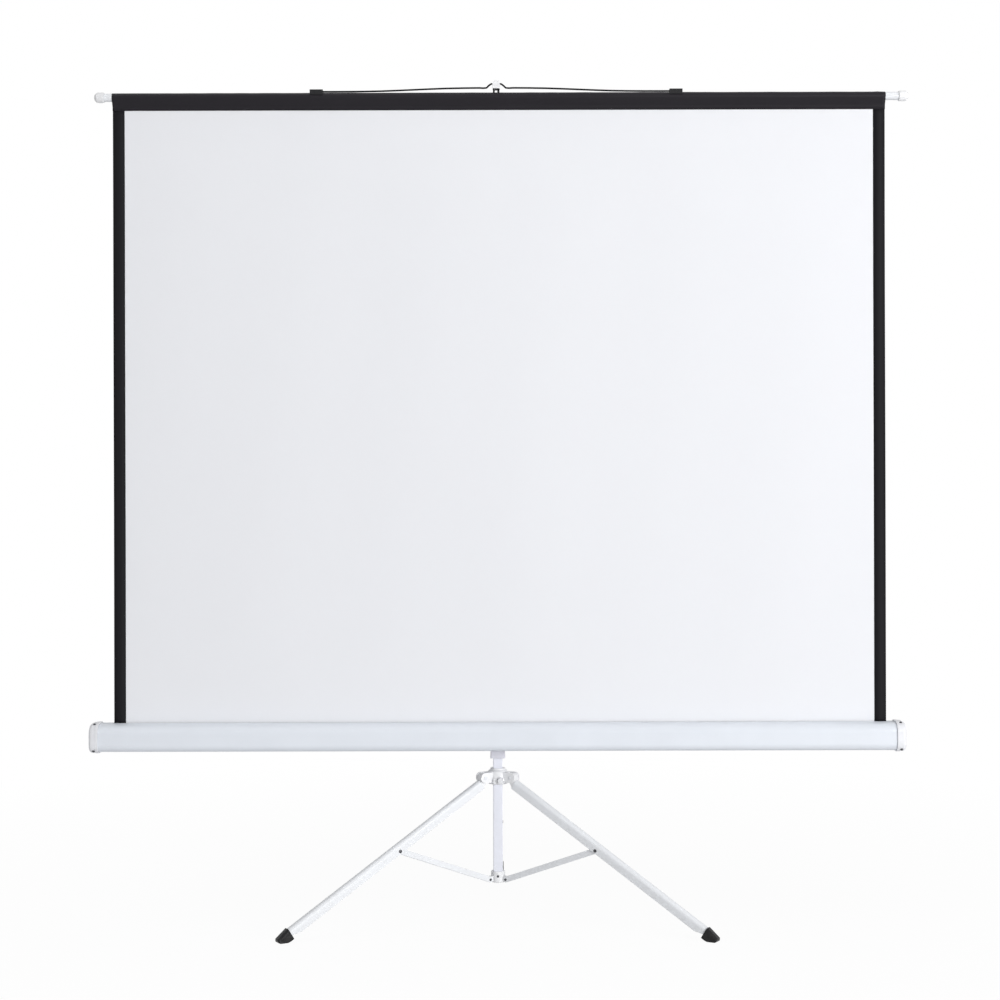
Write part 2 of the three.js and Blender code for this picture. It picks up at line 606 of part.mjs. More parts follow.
function legKnuckle() {
  const eye = disc(0, 0, KNUCKLE_RADIUS, 15);
  const shoulder = LEG_START_U - 2 * CLEARANCE;
  const reach = LEG_START_U + KNUCKLE_REACH;
  const top = LEG_TOP_V - LEG_ROUND - CLEARANCE;
  const low = LEG_EDGE_V + LEG_WALL;
  const slant = KNUCKLE_RADIUS * Math.SQRT1_2;
  const neck = polygon([
    [0, -KNUCKLE_RADIUS], [LEG_START_U, low], [reach, low], [reach, top], [shoulder, top],
    [shoulder, LEG_TOP_V - 2 * CLEARANCE], [slant, slant], [0, slant],
  ]);
  const half = KNUCKLE_WIDTH / 2;
  const body = join(alongY(eye, -half, half), alongY(neck, -half, half));
  return cut(body, alongY(disc(0, 0, HUB_PIN_RADIUS + CLEARANCE, 30), -LEG_WIDTH, LEG_WIDTH));
}

// Boot: drawn in (r, z) with a flat sole on the floor, its top rounded like the leg's and its nose rounded
// in plan, with a socket for the leg
function footBoot() {
  const across = new THREE.Vector3(Math.sin(LEG_SLOPE), 0, Math.cos(LEG_SLOPE));
  const collar = new THREE.Vector3(LEG_COLLAR_U, 0, LEG_TOP_V - LEG_HEIGHT / 2).applyMatrix4(legFrame);
  const reach = LEG_HEIGHT / 2 + BOOT_WALL;
  const upper = collar.clone().addScaledVector(across, reach);
  const lower = collar.clone().addScaledVector(across, -reach);
  const heel = collar.x + BOOT_HEEL;
  const toe = heel + SOLE_LENGTH;
  const nose = new THREE.Vector3(toe + BOOT_NOSE, 0, BOOT_NOSE_Z);
  const crown = upper.clone().lerp(nose, 0.75);
  const shape = polygon([
    ...bend([lower.x, lower.z], [heel - BOOT_HEEL / 2, 0], [heel, 0], 4),
    ...bend([toe, 0], [nose.x, 0], [nose.x, nose.z], 5),
    ...bend([nose.x, nose.z], [nose.x, nose.z + BOOT_NOSE_Z / 4], [crown.x, crown.z], 4).slice(1),
    [upper.x, upper.z],
  ]);
  const half = BOOT_WIDTH / 2;
  const r = BOOT_ROUND;
  const roof = polygon([
    [-half, -BOOT_RISE - reach], [half, -BOOT_RISE - reach],
    ...arc(half - r, -r, r, 0, 90, 15), ...arc(-half + r, -r, r, 90, 180, 15),
  ]);
  const roofSlope = Math.atan2(upper.z - nose.z, nose.x - upper.x);
  const roofFrame = new THREE.Matrix4()
    .makeTranslation(upper.x, 0, upper.z)
    .multiply(new THREE.Matrix4().makeRotationY(roofSlope));
  const plan = rounded(lower.x - 2 * r, nose.x, -half, half, r);
  const body = alongY(shape, -half, half)
    .intersect(placed(alongX(roof, -LEG_HEIGHT, 3 * LEG_HEIGHT), roofFrame))
    .intersect(alongZ(plan, -1, 2 * BOOT_RISE));
  const bore = alongX(channelOutline(CLEARANCE), LEG_COLLAR_U - LEG_TRIM_LENGTH, LEG_END_U + 2 * CLEARANCE);
  return cut(body, placed(cut(bore, legTrim(CLEARANCE)), legFrame));
}

// Brace: a pressed channel, open above, its ends rounded about the two pivots
function brace() {
  const half = BRACE_WIDTH / 2;
  const edge = BRACE_HEIGHT / 2;
  const innerHalf = half - BRACE_WALL;
  const floor = -edge + BRACE_WALL;
  const outer = rounded(-half, half, -edge, 3 * edge, BRACE_CORNER);
  const inner = rounded(-innerHalf, innerHalf, floor, 4 * edge, BRACE_CORNER - BRACE_WALL);
  const bar = cut(alongX(outer, -edge, braceSpan + edge), alongX(inner, -edge - 1, braceSpan + edge + 1));
  const side = polygon([...arc(0, 0, edge, 90, 270), ...arc(braceSpan, 0, edge, -90, 90)]);
  const opening = rectangle(-BRACE_HEIGHT, BRACE_OPEN_END, -BRACE_HEIGHT, BRACE_HEIGHT);
  const holes = join(
    alongY(disc(0, 0, BRACE_PIN_RADIUS + CLEARANCE, 30), -BRACE_WIDTH, BRACE_WIDTH),
    alongY(disc(braceSpan, 0, LEG_RIVET_RADIUS + CLEARANCE, 30), -BRACE_WIDTH, BRACE_WIDTH),
  );
  const endRounded = bar.intersect(alongY(side, -BRACE_WIDTH, BRACE_WIDTH));
  return cut(endRounded, alongY(opening, -innerHalf, innerHalf), holes);
}

forEachLeg((name, turn) => {
  const leg = turn.clone().multiply(legFrame);
  const strut = turn.clone().multiply(braceFrame);
  const legRivet = rivet(LEG_RIVET_RADIUS, LEG_WIDTH / 2 + CLEARANCE, LEG_RIVET_HEAD, RIVET_HEAD);
  const hubPin = rivet(HUB_PIN_RADIUS, EAR_WIDTH / 2 + CLEARANCE, HUB_PIN_HEAD, RIVET_HEAD);
  const bracePin = rivet(BRACE_PIN_RADIUS, BRACE_WIDTH / 2 + CLEARANCE, BRACE_PIN_HEAD, RIVET_HEAD);
  add("leg_channel_" + name, placed(legChannel(), leg), PAINT);
  add("leg_knuckle_" + name, placed(legKnuckle(), leg), PLASTIC);
  add("foot_boot_" + name, placed(footBoot(), turn), RUBBER);
  add("leg_rivet_" + name, placed(moved(legRivet, LEG_RIVET_U, 0, LEG_RIVET_V), leg), DARK_STEEL);
  add("hub_pin_" + name, placed(hubPin, leg), PAINT);
  add("brace_" + name, placed(brace(), strut), PAINT);
  add("brace_pin_" + name, placed(bracePin, strut), DARK_STEEL);
});
add("mast_tube", mastTube(), PAINT);
add("foot_bracket", footBracket(), PLASTIC);
add("bracket_rivet", bracketRivet(), DARK_STEEL);
add("leg_hub", legHub(), PLASTIC);
add("hub_knob", hubKnob(), STEEL);

// Collar at the top of the mast tube, with the cam lever that locks the extension
function mastCollar() {
  const block = alongZ(square(COLLAR_SIDE, COLLAR_WALL), COLLAR_BOTTOM, COLLAR_TOP);
  const earShape = polygon([
    [0, LEVER_Z - LEVER_EYE], ...arc(LEVER_Y, LEVER_Z, LEVER_EYE, -90, 90), [0, LEVER_Z + LEVER_EYE],
  ]);
  const inner = LEVER_WIDTH / 2 + CLEARANCE;
  const ear = alongX(earShape, inner, inner + LEVER_EAR);
  const socket = square(MAST_SIDE + 2 * CLEARANCE, MAST_CORNER + CLEARANCE);
  const guide = square(EXTENSION_SIDE + 2 * SLIDE_GAP, EXTENSION_CORNER);
  const lower = alongZ(socket, COLLAR_BOTTOM - 1, MAST_TOP + CLEARANCE);
  const upper = alongZ(guide, COLLAR_BOTTOM - 1, COLLAR_TOP + 1);
  const pinHole = alongX(disc(LEVER_Y, LEVER_Z, LEVER_PIN_RADIUS + CLEARANCE), -COLLAR_SIDE, COLLAR_SIDE);
  return cut(join(block, ear, mirrored(ear)), lower, upper, pinHole);
}

function collarLever() {
  const inside = COLLAR_SIDE / 2 + SLIDE_GAP;
  const outside = inside + LEVER_THICKNESS;
  const end = LEVER_Z - LEVER_LENGTH;
  const arm = polygon([
    [inside, LEVER_Z], [inside, end + LEVER_TIP], [inside + LEVER_LIFT, end], [outside + LEVER_LIFT / 2, end],
    [outside, end + LEVER_TIP], [LEVER_Y + LEVER_EYE, LEVER_Z],
  ]);
  const half = LEVER_WIDTH / 2;
  const body = join(alongX(disc(LEVER_Y, LEVER_Z, LEVER_EYE), -half, half), alongX(arm, -half, half));
  return cut(body, alongX(disc(LEVER_Y, LEVER_Z, LEVER_PIN_RADIUS + CLEARANCE), -COLLAR_SIDE, COLLAR_SIDE));
}

function leverPin() {
  const half = LEVER_WIDTH / 2 + CLEARANCE + LEVER_EAR;
  return alongX(disc(LEVER_Y, LEVER_Z, LEVER_PIN_RADIUS), -half, half);
}

add("mast_collar", mastCollar(), BLACK_PLASTIC);
add("collar_lever", collarLever(), BLACK_PLASTIC);
add("lever_pin", leverPin(), STEEL);

// Carriage: a sleeve on the mast with a rim below, a boss for the case pivot and a rear clamp boss
function carriageSleeve() {
  const body = alongZ(square(CARRIAGE_SIDE, CARRIAGE_CORNER), CARRIAGE_BOTTOM, CARRIAGE_TOP);
  const rim = square(CARRIAGE_SIDE + 2 * CARRIAGE_RIM, CARRIAGE_CORNER + CARRIAGE_RIM);
  const lowRim = alongZ(rim, CARRIAGE_BOTTOM, CARRIAGE_BOTTOM + CARRIAGE_RIM_HEIGHT);
  const highRim = alongZ(rim, CARRIAGE_TOP - CARRIAGE_RIM_HEIGHT, CARRIAGE_TOP);
  const pivotBoss = alongY(disc(0, PIVOT_Z, PIVOT_BOSS_RADIUS, 15), PLATE_BACK + CLEARANCE, 0);
  const clampBoss = alongY(disc(0, CLAMP_Z, CLAMP_BOSS_RADIUS, 15), 0, CARRIAGE_SIDE / 2 + CLAMP_BOSS);
  const bore = square(MAST_SIDE + 2 * SLIDE_GAP, MAST_CORNER + SLIDE_GAP);
  const boltHole = alongY(disc(0, PIVOT_Z, PIVOT_BOLT_RADIUS + CLEARANCE), -CARRIAGE_SIDE, 0);
  const screwHole = alongY(disc(0, CLAMP_Z, CLAMP_SCREW_RADIUS + CLEARANCE), 0, 2 * CARRIAGE_SIDE);
  const mastBore = alongZ(bore, CARRIAGE_BOTTOM - 1, CARRIAGE_TOP + 1);
  return cut(join(body, lowRim, highRim, pivotBoss, clampBoss), mastBore, boltHole, screwHole);
}

function carriageKnob() {
  const face = CARRIAGE_SIDE / 2 + CLAMP_BOSS + SLIDE_GAP;
  const screw = alongY(disc(0, 0, CLAMP_SCREW_RADIUS), MAST_SIDE / 2 + CLEARANCE, face + 1);
  const grip = moved(knob(CLAMP_KNOB_RADIUS, CLAMP_KNOB_HEIGHT, 6), 0, face, 0);
  return moved(join(grip, screw), 0, 0, CLAMP_Z);
}

function caseMountPlate() {
  const half = PLATE_WIDTH / 2;
  const outline = rounded(-half, half, PIVOT_Z - PLATE_HEIGHT / 2, PIVOT_Z + PLATE_HEIGHT / 2, PLATE_CORNER);
  const hole = alongY(disc(0, PIVOT_Z, PIVOT_BOLT_RADIUS + CLEARANCE), CASE_BACK - 1, PLATE_BACK + 1);
  const seat = PLATE_BACK - PIVOT_HEAD_SEAT;
  const recess = alongY(disc(0, PIVOT_Z, PIVOT_HEAD_RADIUS + CLEARANCE), CASE_BACK - 1, seat);
  return cut(alongY(outline, CASE_BACK, PLATE_BACK), hole, recess);
}

function casePivotBolt() {
  const seat = PLATE_BACK - PIVOT_HEAD_SEAT - CLEARANCE;
  const head = alongY(disc(0, PIVOT_Z, PIVOT_HEAD_RADIUS), CASE_BACK + CLEARANCE, seat);
  const end = -MAST_SIDE / 2 - 2 * CLEARANCE;
  const shank = alongY(disc(0, PIVOT_Z, PIVOT_BOLT_RADIUS), CASE_BACK + CLEARANCE, end);
  return join(head, shank);
}

add("carriage_sleeve", carriageSleeve(), PLASTIC);
add("carriage_knob", carriageKnob(), BLACK_PLASTIC);
add("case_mount_plate", caseMountPlate(), PAINT);
add("case_pivot_bolt", casePivotBolt(), STEEL);

// Case: drawn in (y, z), round above and below its flat front, with a slot in its top
function browOval(grow) {
  const middle = [CASE_BACK - CASE_DEPTH + CASE_BROW_DEPTH, CASE_TOP - CASE_BROW_HEIGHT];
  return [...middle, CASE_BROW_DEPTH + grow, CASE_BROW_HEIGHT + grow];
}

function chinOval(grow) {
  const middle = [CASE_BACK - CASE_DEPTH + CASE_CHIN_DEPTH, CASE_BOTTOM + CASE_CHIN_HEIGHT];
  return [...middle, CASE_CHIN_DEPTH + grow, CASE_CHIN_HEIGHT + grow];
}

function caseOutline(grow) {
  const back = CASE_BACK + grow;
  const low = CASE_BOTTOM - grow;
  const high = CASE_TOP + grow;
  const r = CASE_CORNER + grow;
  return polygon([
    ...quarterOval(...chinOval(grow), 180),
    ...arc(back - r, low + r, r, -90, 0), ...arc(back - r, high - r, r, 0, 90),
    ...quarterOval(...browOval(grow), 90),
  ]);
}

// A cap screw's place: the point at an angle round an oval, with Z standing out of the cap there
function screwFrame([y, z, depth, height], degrees) {
  const angle = THREE.MathUtils.degToRad(degrees);
  const seat = new THREE.Vector3(CAP_SCREW_X, y + depth * Math.cos(angle), z + height * Math.sin(angle));
  const outwards = new THREE.Vector3(0, Math.cos(angle) / depth, Math.sin(angle) / height).normalize();
  const turn = new THREE.Quaternion().setFromUnitVectors(new THREE.Vector3(0, 0, 1), outwards);
  return new THREE.Matrix4().compose(seat, turn, new THREE.Vector3(1, 1, 1));
}

const browScrew = screwFrame(browOval(CAP_GROW), BROW_SCREW_ANGLE);
const chinScrew = screwFrame(chinOval(CAP_GROW), CHIN_SCREW_ANGLE);

function capScrewHoles() {
  const hole = alongZ(disc(0, 0, CAP_SCREW_RADIUS + CLEARANCE), -2 * CAP_SCREW_LENGTH, CAP_SCREW_LENGTH);
  return join(placed(hole, browScrew), placed(hole, chinScrew));
}

function caseShell() {
  const outside = alongX(caseOutline(0), -SHELL_HALF, SHELL_HALF);
  const inside = alongX(caseOutline(-CASE_WALL), -SHELL_HALF - 1, SHELL_HALF + 1);
  const slot = rectangle(SHEET_FRONT - CASE_SLOT / 2, SHEET_FRONT + CASE_SLOT / 2, ROLLER_Z, CASE_TOP + 1);
  const opening = alongX(slot, -SHELL_HALF - 1, SHELL_HALF + 1);
  return cut(outside, inside, opening, capScrewHoles(), mirrored(capScrewHoles()));
}

function caseCap(pinRadius) {
  const dome = eased(CAP_DOME, CAP_DOME_DROP, 4);
  const cover = alongX(caseOutline(CAP_GROW), ROLLER_HALF, CAP_END - CAP_DOME, dome);
  const rim = alongX(caseOutline(CAP_GROW + CAP_RIM), CAP_START, CAP_START + CAP_RIM_WIDTH);
  const body = rectangle(CASE_BACK - 2 * CASE_DEPTH, CASE_BACK + CASE_DEPTH, 0, 2 * CASE_TOP);
  const inner = alongX(body, 0, CAP_START);
  const socket = alongX(caseOutline(CLEARANCE), CAP_START - 1, SHELL_HALF + CLEARANCE);
  const pinHole = alongX(disc(ROLLER_Y, ROLLER_Z, pinRadius + CLEARANCE), CAP_START, PIN_END + CLEARANCE);
  return cut(join(cover, rim), inner, socket, pinHole, capScrewHoles());
}

// Self-tapping screw through the cap and the shell, built pointing down from its head
function capScrew() {
  const seat = CLEARANCE;
  const top = seat + CAP_SCREW_RADIUS;
  const tip = seat - CAP_SCREW_LENGTH;
  const side = [CAP_SCREW_HEAD, seat + RIVET_HEAD / 2];
  const profile = [
    [0, tip], [CAP_SCREW_RADIUS, tip + CAP_SCREW_RADIUS], [CAP_SCREW_RADIUS, seat], [CAP_SCREW_HEAD, seat],
    ...bend(side, [CAP_SCREW_HEAD, top], [CAP_SCREW_HEAD / 2, top], 2), [0, top],
  ];
  return turned(profile, 16);
}

add("case_shell", caseShell(), PAINT);
add("case_cap_left", mirrored(caseCap(ARBOR_RADIUS)), PLASTIC);
add("case_cap_right", caseCap(IDLER_RADIUS), PLASTIC);
add("cap_screw_top_right", placed(capScrew(), browScrew), DARK_STEEL);
add("cap_screw_low_right", placed(capScrew(), chinScrew), DARK_STEEL);
add("cap_screw_top_left", mirrored(placed(capScrew(), browScrew)), DARK_STEEL);
add("cap_screw_low_left", mirrored(placed(capScrew(), chinScrew)), DARK_STEEL);

// Roller: a tube with a plug at each end, turning on an idler pin and on a fixed arbor with a torsion spring
function rollerPart(radius, hole, from, to) {
  const outside = alongX(disc(ROLLER_Y, ROLLER_Z, radius, 15), from, to);
  return cut(outside, alongX(disc(ROLLER_Y, ROLLER_Z, hole, 15), from - 1, to + 1));
}

function rollerSpring() {
  const points = [];
  const steps = SPRING_COILS * SPRING_STEPS;
  for (let i = 0; i <= steps; i++) {
    const angle = (2 * Math.PI * i) / SPRING_STEPS;
    const x = -ROLLER_HALF + PLUG_LENGTH + SPRING_END + (SPRING_LENGTH * i) / steps;
    const y = ROLLER_Y + SPRING_RADIUS * Math.cos(angle);
    points.push(new THREE.Vector3(x, y, ROLLER_Z + SPRING_RADIUS * Math.sin(angle)));
  }
  const path = new THREE.CatmullRomCurve3(points);
  const section = polygon([[SPRING_WIRE, 0], [0, SPRING_WIRE], [-SPRING_WIRE, 0], [0, -SPRING_WIRE]]);
  return solid(new THREE.ExtrudeGeometry(section, { steps, extrudePath: path }));
}

function fabricRoll() {
  const steps = ROLL_STEPS * ROLL_TURNS;
  const spiral = (grow) => {
    const points = [];
    for (let i = 0; i <= steps; i++) {
      const angle = (2 * Math.PI * ROLL_TURNS * i) / steps;
      const reach = ROLLER_RADIUS + CLEARANCE + grow + (ROLL_PITCH * ROLL_TURNS * i) / steps;
      points.push([ROLLER_Y + reach * Math.cos(angle), ROLLER_Z + reach * Math.sin(angle)]);
    }
    return points;
  };
  const outline = [...spiral(FABRIC), ...spiral(0).reverse()];
  return alongX(polygon(outline), clothLeft, clothRight);
}

const clothLeft = CLOTH_SHIFT - SHEET_WIDTH / 2;
const clothRight = CLOTH_SHIFT + SHEET_WIDTH / 2;
const plugRadius = ROLLER_RADIUS - ROLLER_WALL - CLEARANCE;
const plugInside = ROLLER_HALF - PLUG_LENGTH;
const arborEnd = -plugInside + SPRING_LENGTH + 3 * SPRING_END;
const pinBar = (radius, from, to) => alongX(disc(ROLLER_Y, ROLLER_Z, radius), from, to);
const springPlug = rollerPart(plugRadius, ARBOR_RADIUS + SLIDE_GAP, -ROLLER_HALF, -plugInside);
const idlerPlug = rollerPart(plugRadius, IDLER_RADIUS + SLIDE_GAP, plugInside, ROLLER_HALF);

add("roller_tube", rollerPart(ROLLER_RADIUS, ROLLER_RADIUS - ROLLER_WALL, -ROLLER_HALF, ROLLER_HALF), STEEL);
add("roller_plug_spring", springPlug, BLACK_PLASTIC);
add("roller_plug_idler", idlerPlug, BLACK_PLASTIC);
add("spring_arbor", pinBar(ARBOR_RADIUS, -PIN_END, arborEnd), STEEL);
add("roller_idler_pin", pinBar(IDLER_RADIUS, plugInside, PIN_END), STEEL);
add("roller_spring", rollerSpring(), STEEL);
add("fabric_roll", fabricRoll(), WHITE_FABRIC);

// Screen fabric: the sheet from the roll up behind the hem, and the black strips along its two sides
function clothPiece(x0, x1, y0, y1, z0, z1) {
  return alongZ(rectangle(x0, x1, y0, y1), z0, z1);
}

const clothTop = ROD_Z - HEM_RADIUS - SHEET_TUCK;
const clothBack = SHEET_FRONT + FABRIC;
const sheet = clothPiece(clothLeft, clothRight, SHEET_FRONT, clothBack, ROLLER_Z + SHEET_START, clothTop);
const borderFront = SHEET_FRONT - FABRIC / 2;
const borderLow = CASE_TOP - SHEET_HIDDEN;
const borderTop = HEM_BOTTOM - CLEARANCE;
const strip = (left) => clothPiece(left, left + BORDER, borderFront, SHEET_FRONT, borderLow, borderTop);

add("screen_sheet", sheet, WHITE_FABRIC);
add("border_right", strip(clothRight - BORDER), BLACK_FABRIC);
add("border_left", strip(clothLeft), BLACK_FABRIC);

// Top hem: a pocket round the rod, a little wider than the sheet, and a flat tail in front of the sheet
function topHem() {
  const round = disc(ROD_Y, ROD_Z, HEM_RADIUS, 15);
  const pocket = alongX(round, clothLeft - HEM_OVERHANG, clothRight + HEM_OVERHANG);
  const tailHalf = HEM_THICKNESS / 2;
  const tail = rectangle(ROD_Y - tailHalf, ROD_Y + tailHalf, HEM_BOTTOM, ROD_Z - ROD_RADIUS);
  const bore = alongX(disc(ROD_Y, ROD_Z, ROD_RADIUS + CLEARANCE, 15), -ROD_HALF, ROD_HALF);
  return cut(join(pocket, alongX(tail, clothLeft, clothRight)), bore);
}

function topRod() {
  const half = ROD_HALF - ROD_CAP_END;
  const outside = alongX(disc(ROD_Y, ROD_Z, ROD_RADIUS, 15), -half, half);
  const inside = alongX(disc(ROD_Y, ROD_Z, ROD_RADIUS - ROD_WALL, 15), -half - 1, half + 1);
  return moved(cut(outside, inside), ROD_SHIFT, 0, 0);
}

function rodCap() {
  const start = ROD_HALF - ROD_CAP_LENGTH;
  const edge = [ROD_CAP_RADIUS, ROD_HALF - ROD_CAP_DOME];
  const dome = turned([
    [0, start], [ROD_CAP_RADIUS - ROD_CAP_EDGE, start], [ROD_CAP_RADIUS, start + ROD_CAP_EDGE],
    ...bend(edge, [ROD_CAP_FACE, ROD_HALF], [0, ROD_HALF], 5),
  ], 24);
  const level = moved(placed(dome, new THREE.Matrix4().makeRotationY(Math.PI / 2)), 0, ROD_Y, ROD_Z);
  const reach = ROD_HALF - ROD_CAP_END + CLEARANCE;
  return cut(level, alongX(disc(ROD_Y, ROD_Z, ROD_RADIUS + CLEARANCE, 15), start - 1, reach));
}

// Bail: a wire that leaves its anchors along the hem, rises gently and steps up over the hook.
// Its steps are shared evenly among the points, so that the bends near the hook get most of them.
function bailWire() {
  const end = ANCHOR_X + ANCHOR_LENGTH / 2 - ANCHOR_STOP - 1;
  const quarter = BAIL_RUN / 4;
  const middle = [BAIL_RUN_X + 2 * quarter, (BAIL_REST_Z + BAIL_SHOULDER_Z) / 2];
  const run = bend([BAIL_LIE_X, BAIL_REST_Z], [BAIL_LIE_X - quarter, BAIL_REST_Z], middle, 2);
  const climb = bend(middle, [BAIL_RUN_X + quarter, BAIL_SHOULDER_Z], [BAIL_RUN_X, BAIL_SHOULDER_Z], 2);
  const hump = HOOK_WIDTH / 2;
  const half = [
    [end, BAIL_REST_Z], ...run, ...climb.slice(1), [hump + BAIL_RAMP, BAIL_SHOULDER_Z],
    [hump + BAIL_RAMP * 0.65, (BAIL_SHOULDER_Z + BAIL_TOP_Z) / 2],
    [hump + BAIL_RAMP * 0.3, BAIL_TOP_Z - BAIL_STEP / 8],
    [hump + BAIL_RAMP * 0.1, BAIL_TOP_Z], [hump * 0.7, BAIL_TOP_Z],
  ];
  const right = half.map(([x, z]) => new THREE.Vector3(x, ROD_Y, z));
  const left = half.map(([x, z]) => new THREE.Vector3(-x, ROD_Y, z)).reverse();
  const path = new THREE.CatmullRomCurve3([...right, ...left]);
  path.getUtoTmapping = (share) => share;
  const steps = 2 * (right.length + left.length - 1);
  const section = disc(0, 0, BAIL_RADIUS, 45);
  return solid(new THREE.ExtrudeGeometry(section, { steps, extrudePath: path }));
}

// Anchor block that saddles the hem and holds one end of the bail
function bailAnchor() {
  const x0 = ANCHOR_X - ANCHOR_LENGTH / 2;
  const x1 = ANCHOR_X + ANCHOR_LENGTH / 2;
  const low = BAIL_REST_Z - BAIL_RADIUS - ANCHOR_DROP;
  const high = BAIL_REST_Z + BAIL_RADIUS + ANCHOR_WALL;
  const front = ROD_Y - ANCHOR_FRONT;
  const block = alongX(rounded(front, ROD_Y + ANCHOR_BACK, low, high, ANCHOR_CORNER), x0, x1);
  const middle = (low + high) / 2;
  const button = alongY(disc(ANCHOR_X, middle, ANCHOR_BUTTON_RADIUS), front - ANCHOR_BUTTON_PROUD, front + 1);
  const saddle = alongX(disc(ROD_Y, ROD_Z, HEM_RADIUS + CLEARANCE, 15), x0 - 1, x1 + 1);
  const wireHole = alongX(disc(ROD_Y, BAIL_REST_Z, BAIL_RADIUS + CLEARANCE), x0 - 1, x1 - ANCHOR_STOP);
  return cut(join(block, button), saddle, wireHole);
}

add("top_hem", topHem(), BLACK_FABRIC);
add("top_rod", topRod(), PAINT);
add("rod_cap_right", moved(rodCap(), ROD_SHIFT, 0, 0), PLASTIC);
add("rod_cap_left", moved(mirrored(rodCap()), ROD_SHIFT, 0, 0), PLASTIC);
add("bail_wire", bailWire(), BLACK_PLASTIC);
add("bail_anchor_right", bailAnchor(), BLACK_PLASTIC);
add("bail_anchor_left", mirrored(bailAnchor()), BLACK_PLASTIC);

// Extension tube, its black neck plug and the white hook that holds the bail
function extensionTube() {
  const outside = alongZ(square(EXTENSION_SIDE, EXTENSION_CORNER), EXTENSION_BOTTOM, EXTENSION_TOP);
  const bore = square(EXTENSION_SIDE - 2 * EXTENSION_WALL, EXTENSION_CORNER - EXTENSION_WALL);
  return cut(outside, alongZ(bore, EXTENSION_BOTTOM - 1, EXTENSION_TOP + 1));
}

function hookNeck() {
  const seat = EXTENSION_TOP + CLEARANCE;
  const plug = square(EXTENSION_SIDE - 2 * EXTENSION_WALL - 2 * CLEARANCE, EXTENSION_CORNER - EXTENSION_WALL);
  const flange = alongZ(square(EXTENSION_SIDE, EXTENSION_CORNER), seat, seat + NECK_FLANGE);
  const block = alongZ(square(NECK_SIDE, EXTENSION_CORNER), seat, NECK_TOP);
  return join(alongZ(plug, EXTENSION_TOP - NECK_PLUG, seat + 1), flange, block);
}

function screenHook() {
  const seat = BAIL_RADIUS + CLEARANCE;
  const lipBack = ROD_Y - seat;
  const lipFront = lipBack - HOOK_LIP;
  const rear = EXTENSION_SIDE / 2;
  const top = BAIL_TOP_Z + HOOK_SADDLE_RISE;
  const crown = [lipBack - HOOK_LIP / 2, HOOK_TOP];
  const ease = HOOK_EASE;
  const side = polygon([
    [lipFront, HOOK_LIP_BOTTOM], [-NECK_SIDE / 2, NECK_TOP], [rear, NECK_TOP], [rear, top - ease],
    [rear - ease, top], [ROD_Y + seat + ease, top], [ROD_Y + seat, top - ease],
    ...arc(ROD_Y, BAIL_TOP_Z, seat, 0, -180),
    ...bend([lipBack, HOOK_TOP - ease], [lipBack, HOOK_TOP], crown, 3),
    ...bend(crown, [lipFront, HOOK_TOP], [lipFront, HOOK_TOP - ease], 3).slice(1),
  ]);
  const half = HOOK_WIDTH / 2;
  const front = rounded(-half, half, HOOK_LIP_BOTTOM - 2 * HOOK_ROUND, HOOK_TOP, HOOK_ROUND);
  return alongX(side, -half, half).intersect(alongY(front, lipFront - 1, rear + 1));
}

add("extension_tube", extensionTube(), PAINT);
add("hook_neck", hookNeck(), BLACK_PLASTIC);
add("screen_hook", screenHook(), PLASTIC);

// The frame's origin lies on the floor, in the mast's own plane and midway between the front and rear boots.
screen.children.forEach((mesh) => mesh.geometry.translate(0, -ORIGIN_SETBACK, 0));

export default screen;
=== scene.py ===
# A tripod projection screen, set up for a show: a white cloth drawn up out of its case and hung on a
# telescopic mast with three folding legs. Metres, +Z up, the picture faces -Y.
import math

import bpy
from mathutils import Matrix, Vector, noise


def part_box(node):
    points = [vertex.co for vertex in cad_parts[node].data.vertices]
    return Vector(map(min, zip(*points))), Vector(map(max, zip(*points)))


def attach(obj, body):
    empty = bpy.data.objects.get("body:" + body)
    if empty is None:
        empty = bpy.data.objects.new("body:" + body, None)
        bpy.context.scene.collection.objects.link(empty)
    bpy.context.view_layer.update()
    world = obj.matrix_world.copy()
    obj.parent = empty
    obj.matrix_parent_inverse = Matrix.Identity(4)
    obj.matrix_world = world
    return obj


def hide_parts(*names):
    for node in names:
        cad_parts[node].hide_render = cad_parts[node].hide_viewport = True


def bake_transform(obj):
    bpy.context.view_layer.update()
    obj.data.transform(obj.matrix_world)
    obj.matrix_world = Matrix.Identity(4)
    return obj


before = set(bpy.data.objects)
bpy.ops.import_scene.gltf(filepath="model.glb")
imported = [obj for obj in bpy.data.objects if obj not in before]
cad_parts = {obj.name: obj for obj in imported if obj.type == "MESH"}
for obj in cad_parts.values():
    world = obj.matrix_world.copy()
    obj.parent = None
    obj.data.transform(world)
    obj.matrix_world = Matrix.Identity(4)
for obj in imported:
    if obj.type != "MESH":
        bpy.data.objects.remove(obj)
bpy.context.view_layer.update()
bpy.ops.object.select_all(action="DESELECT")


# Mast and extension: square steel tubes, one inside the other, roll formed and powder coated white.
# The coat lies a little wavy, like the skin of an orange, and is rubbed thin along the corners.
def put(tree, kind, sockets=None, **settings):
    """Adds a shader node. Each socket gets a link where its value is another node's socket."""
    node = tree.nodes.new("ShaderNode" + kind)
    for field, value in settings.items():
        setattr(node, field, value)
    for label, value in (sockets or {}).items():
        if isinstance(value, bpy.types.NodeSocket):
            tree.links.new(value, node.inputs[label])
        else:
            node.inputs[label].default_value = value
    return node


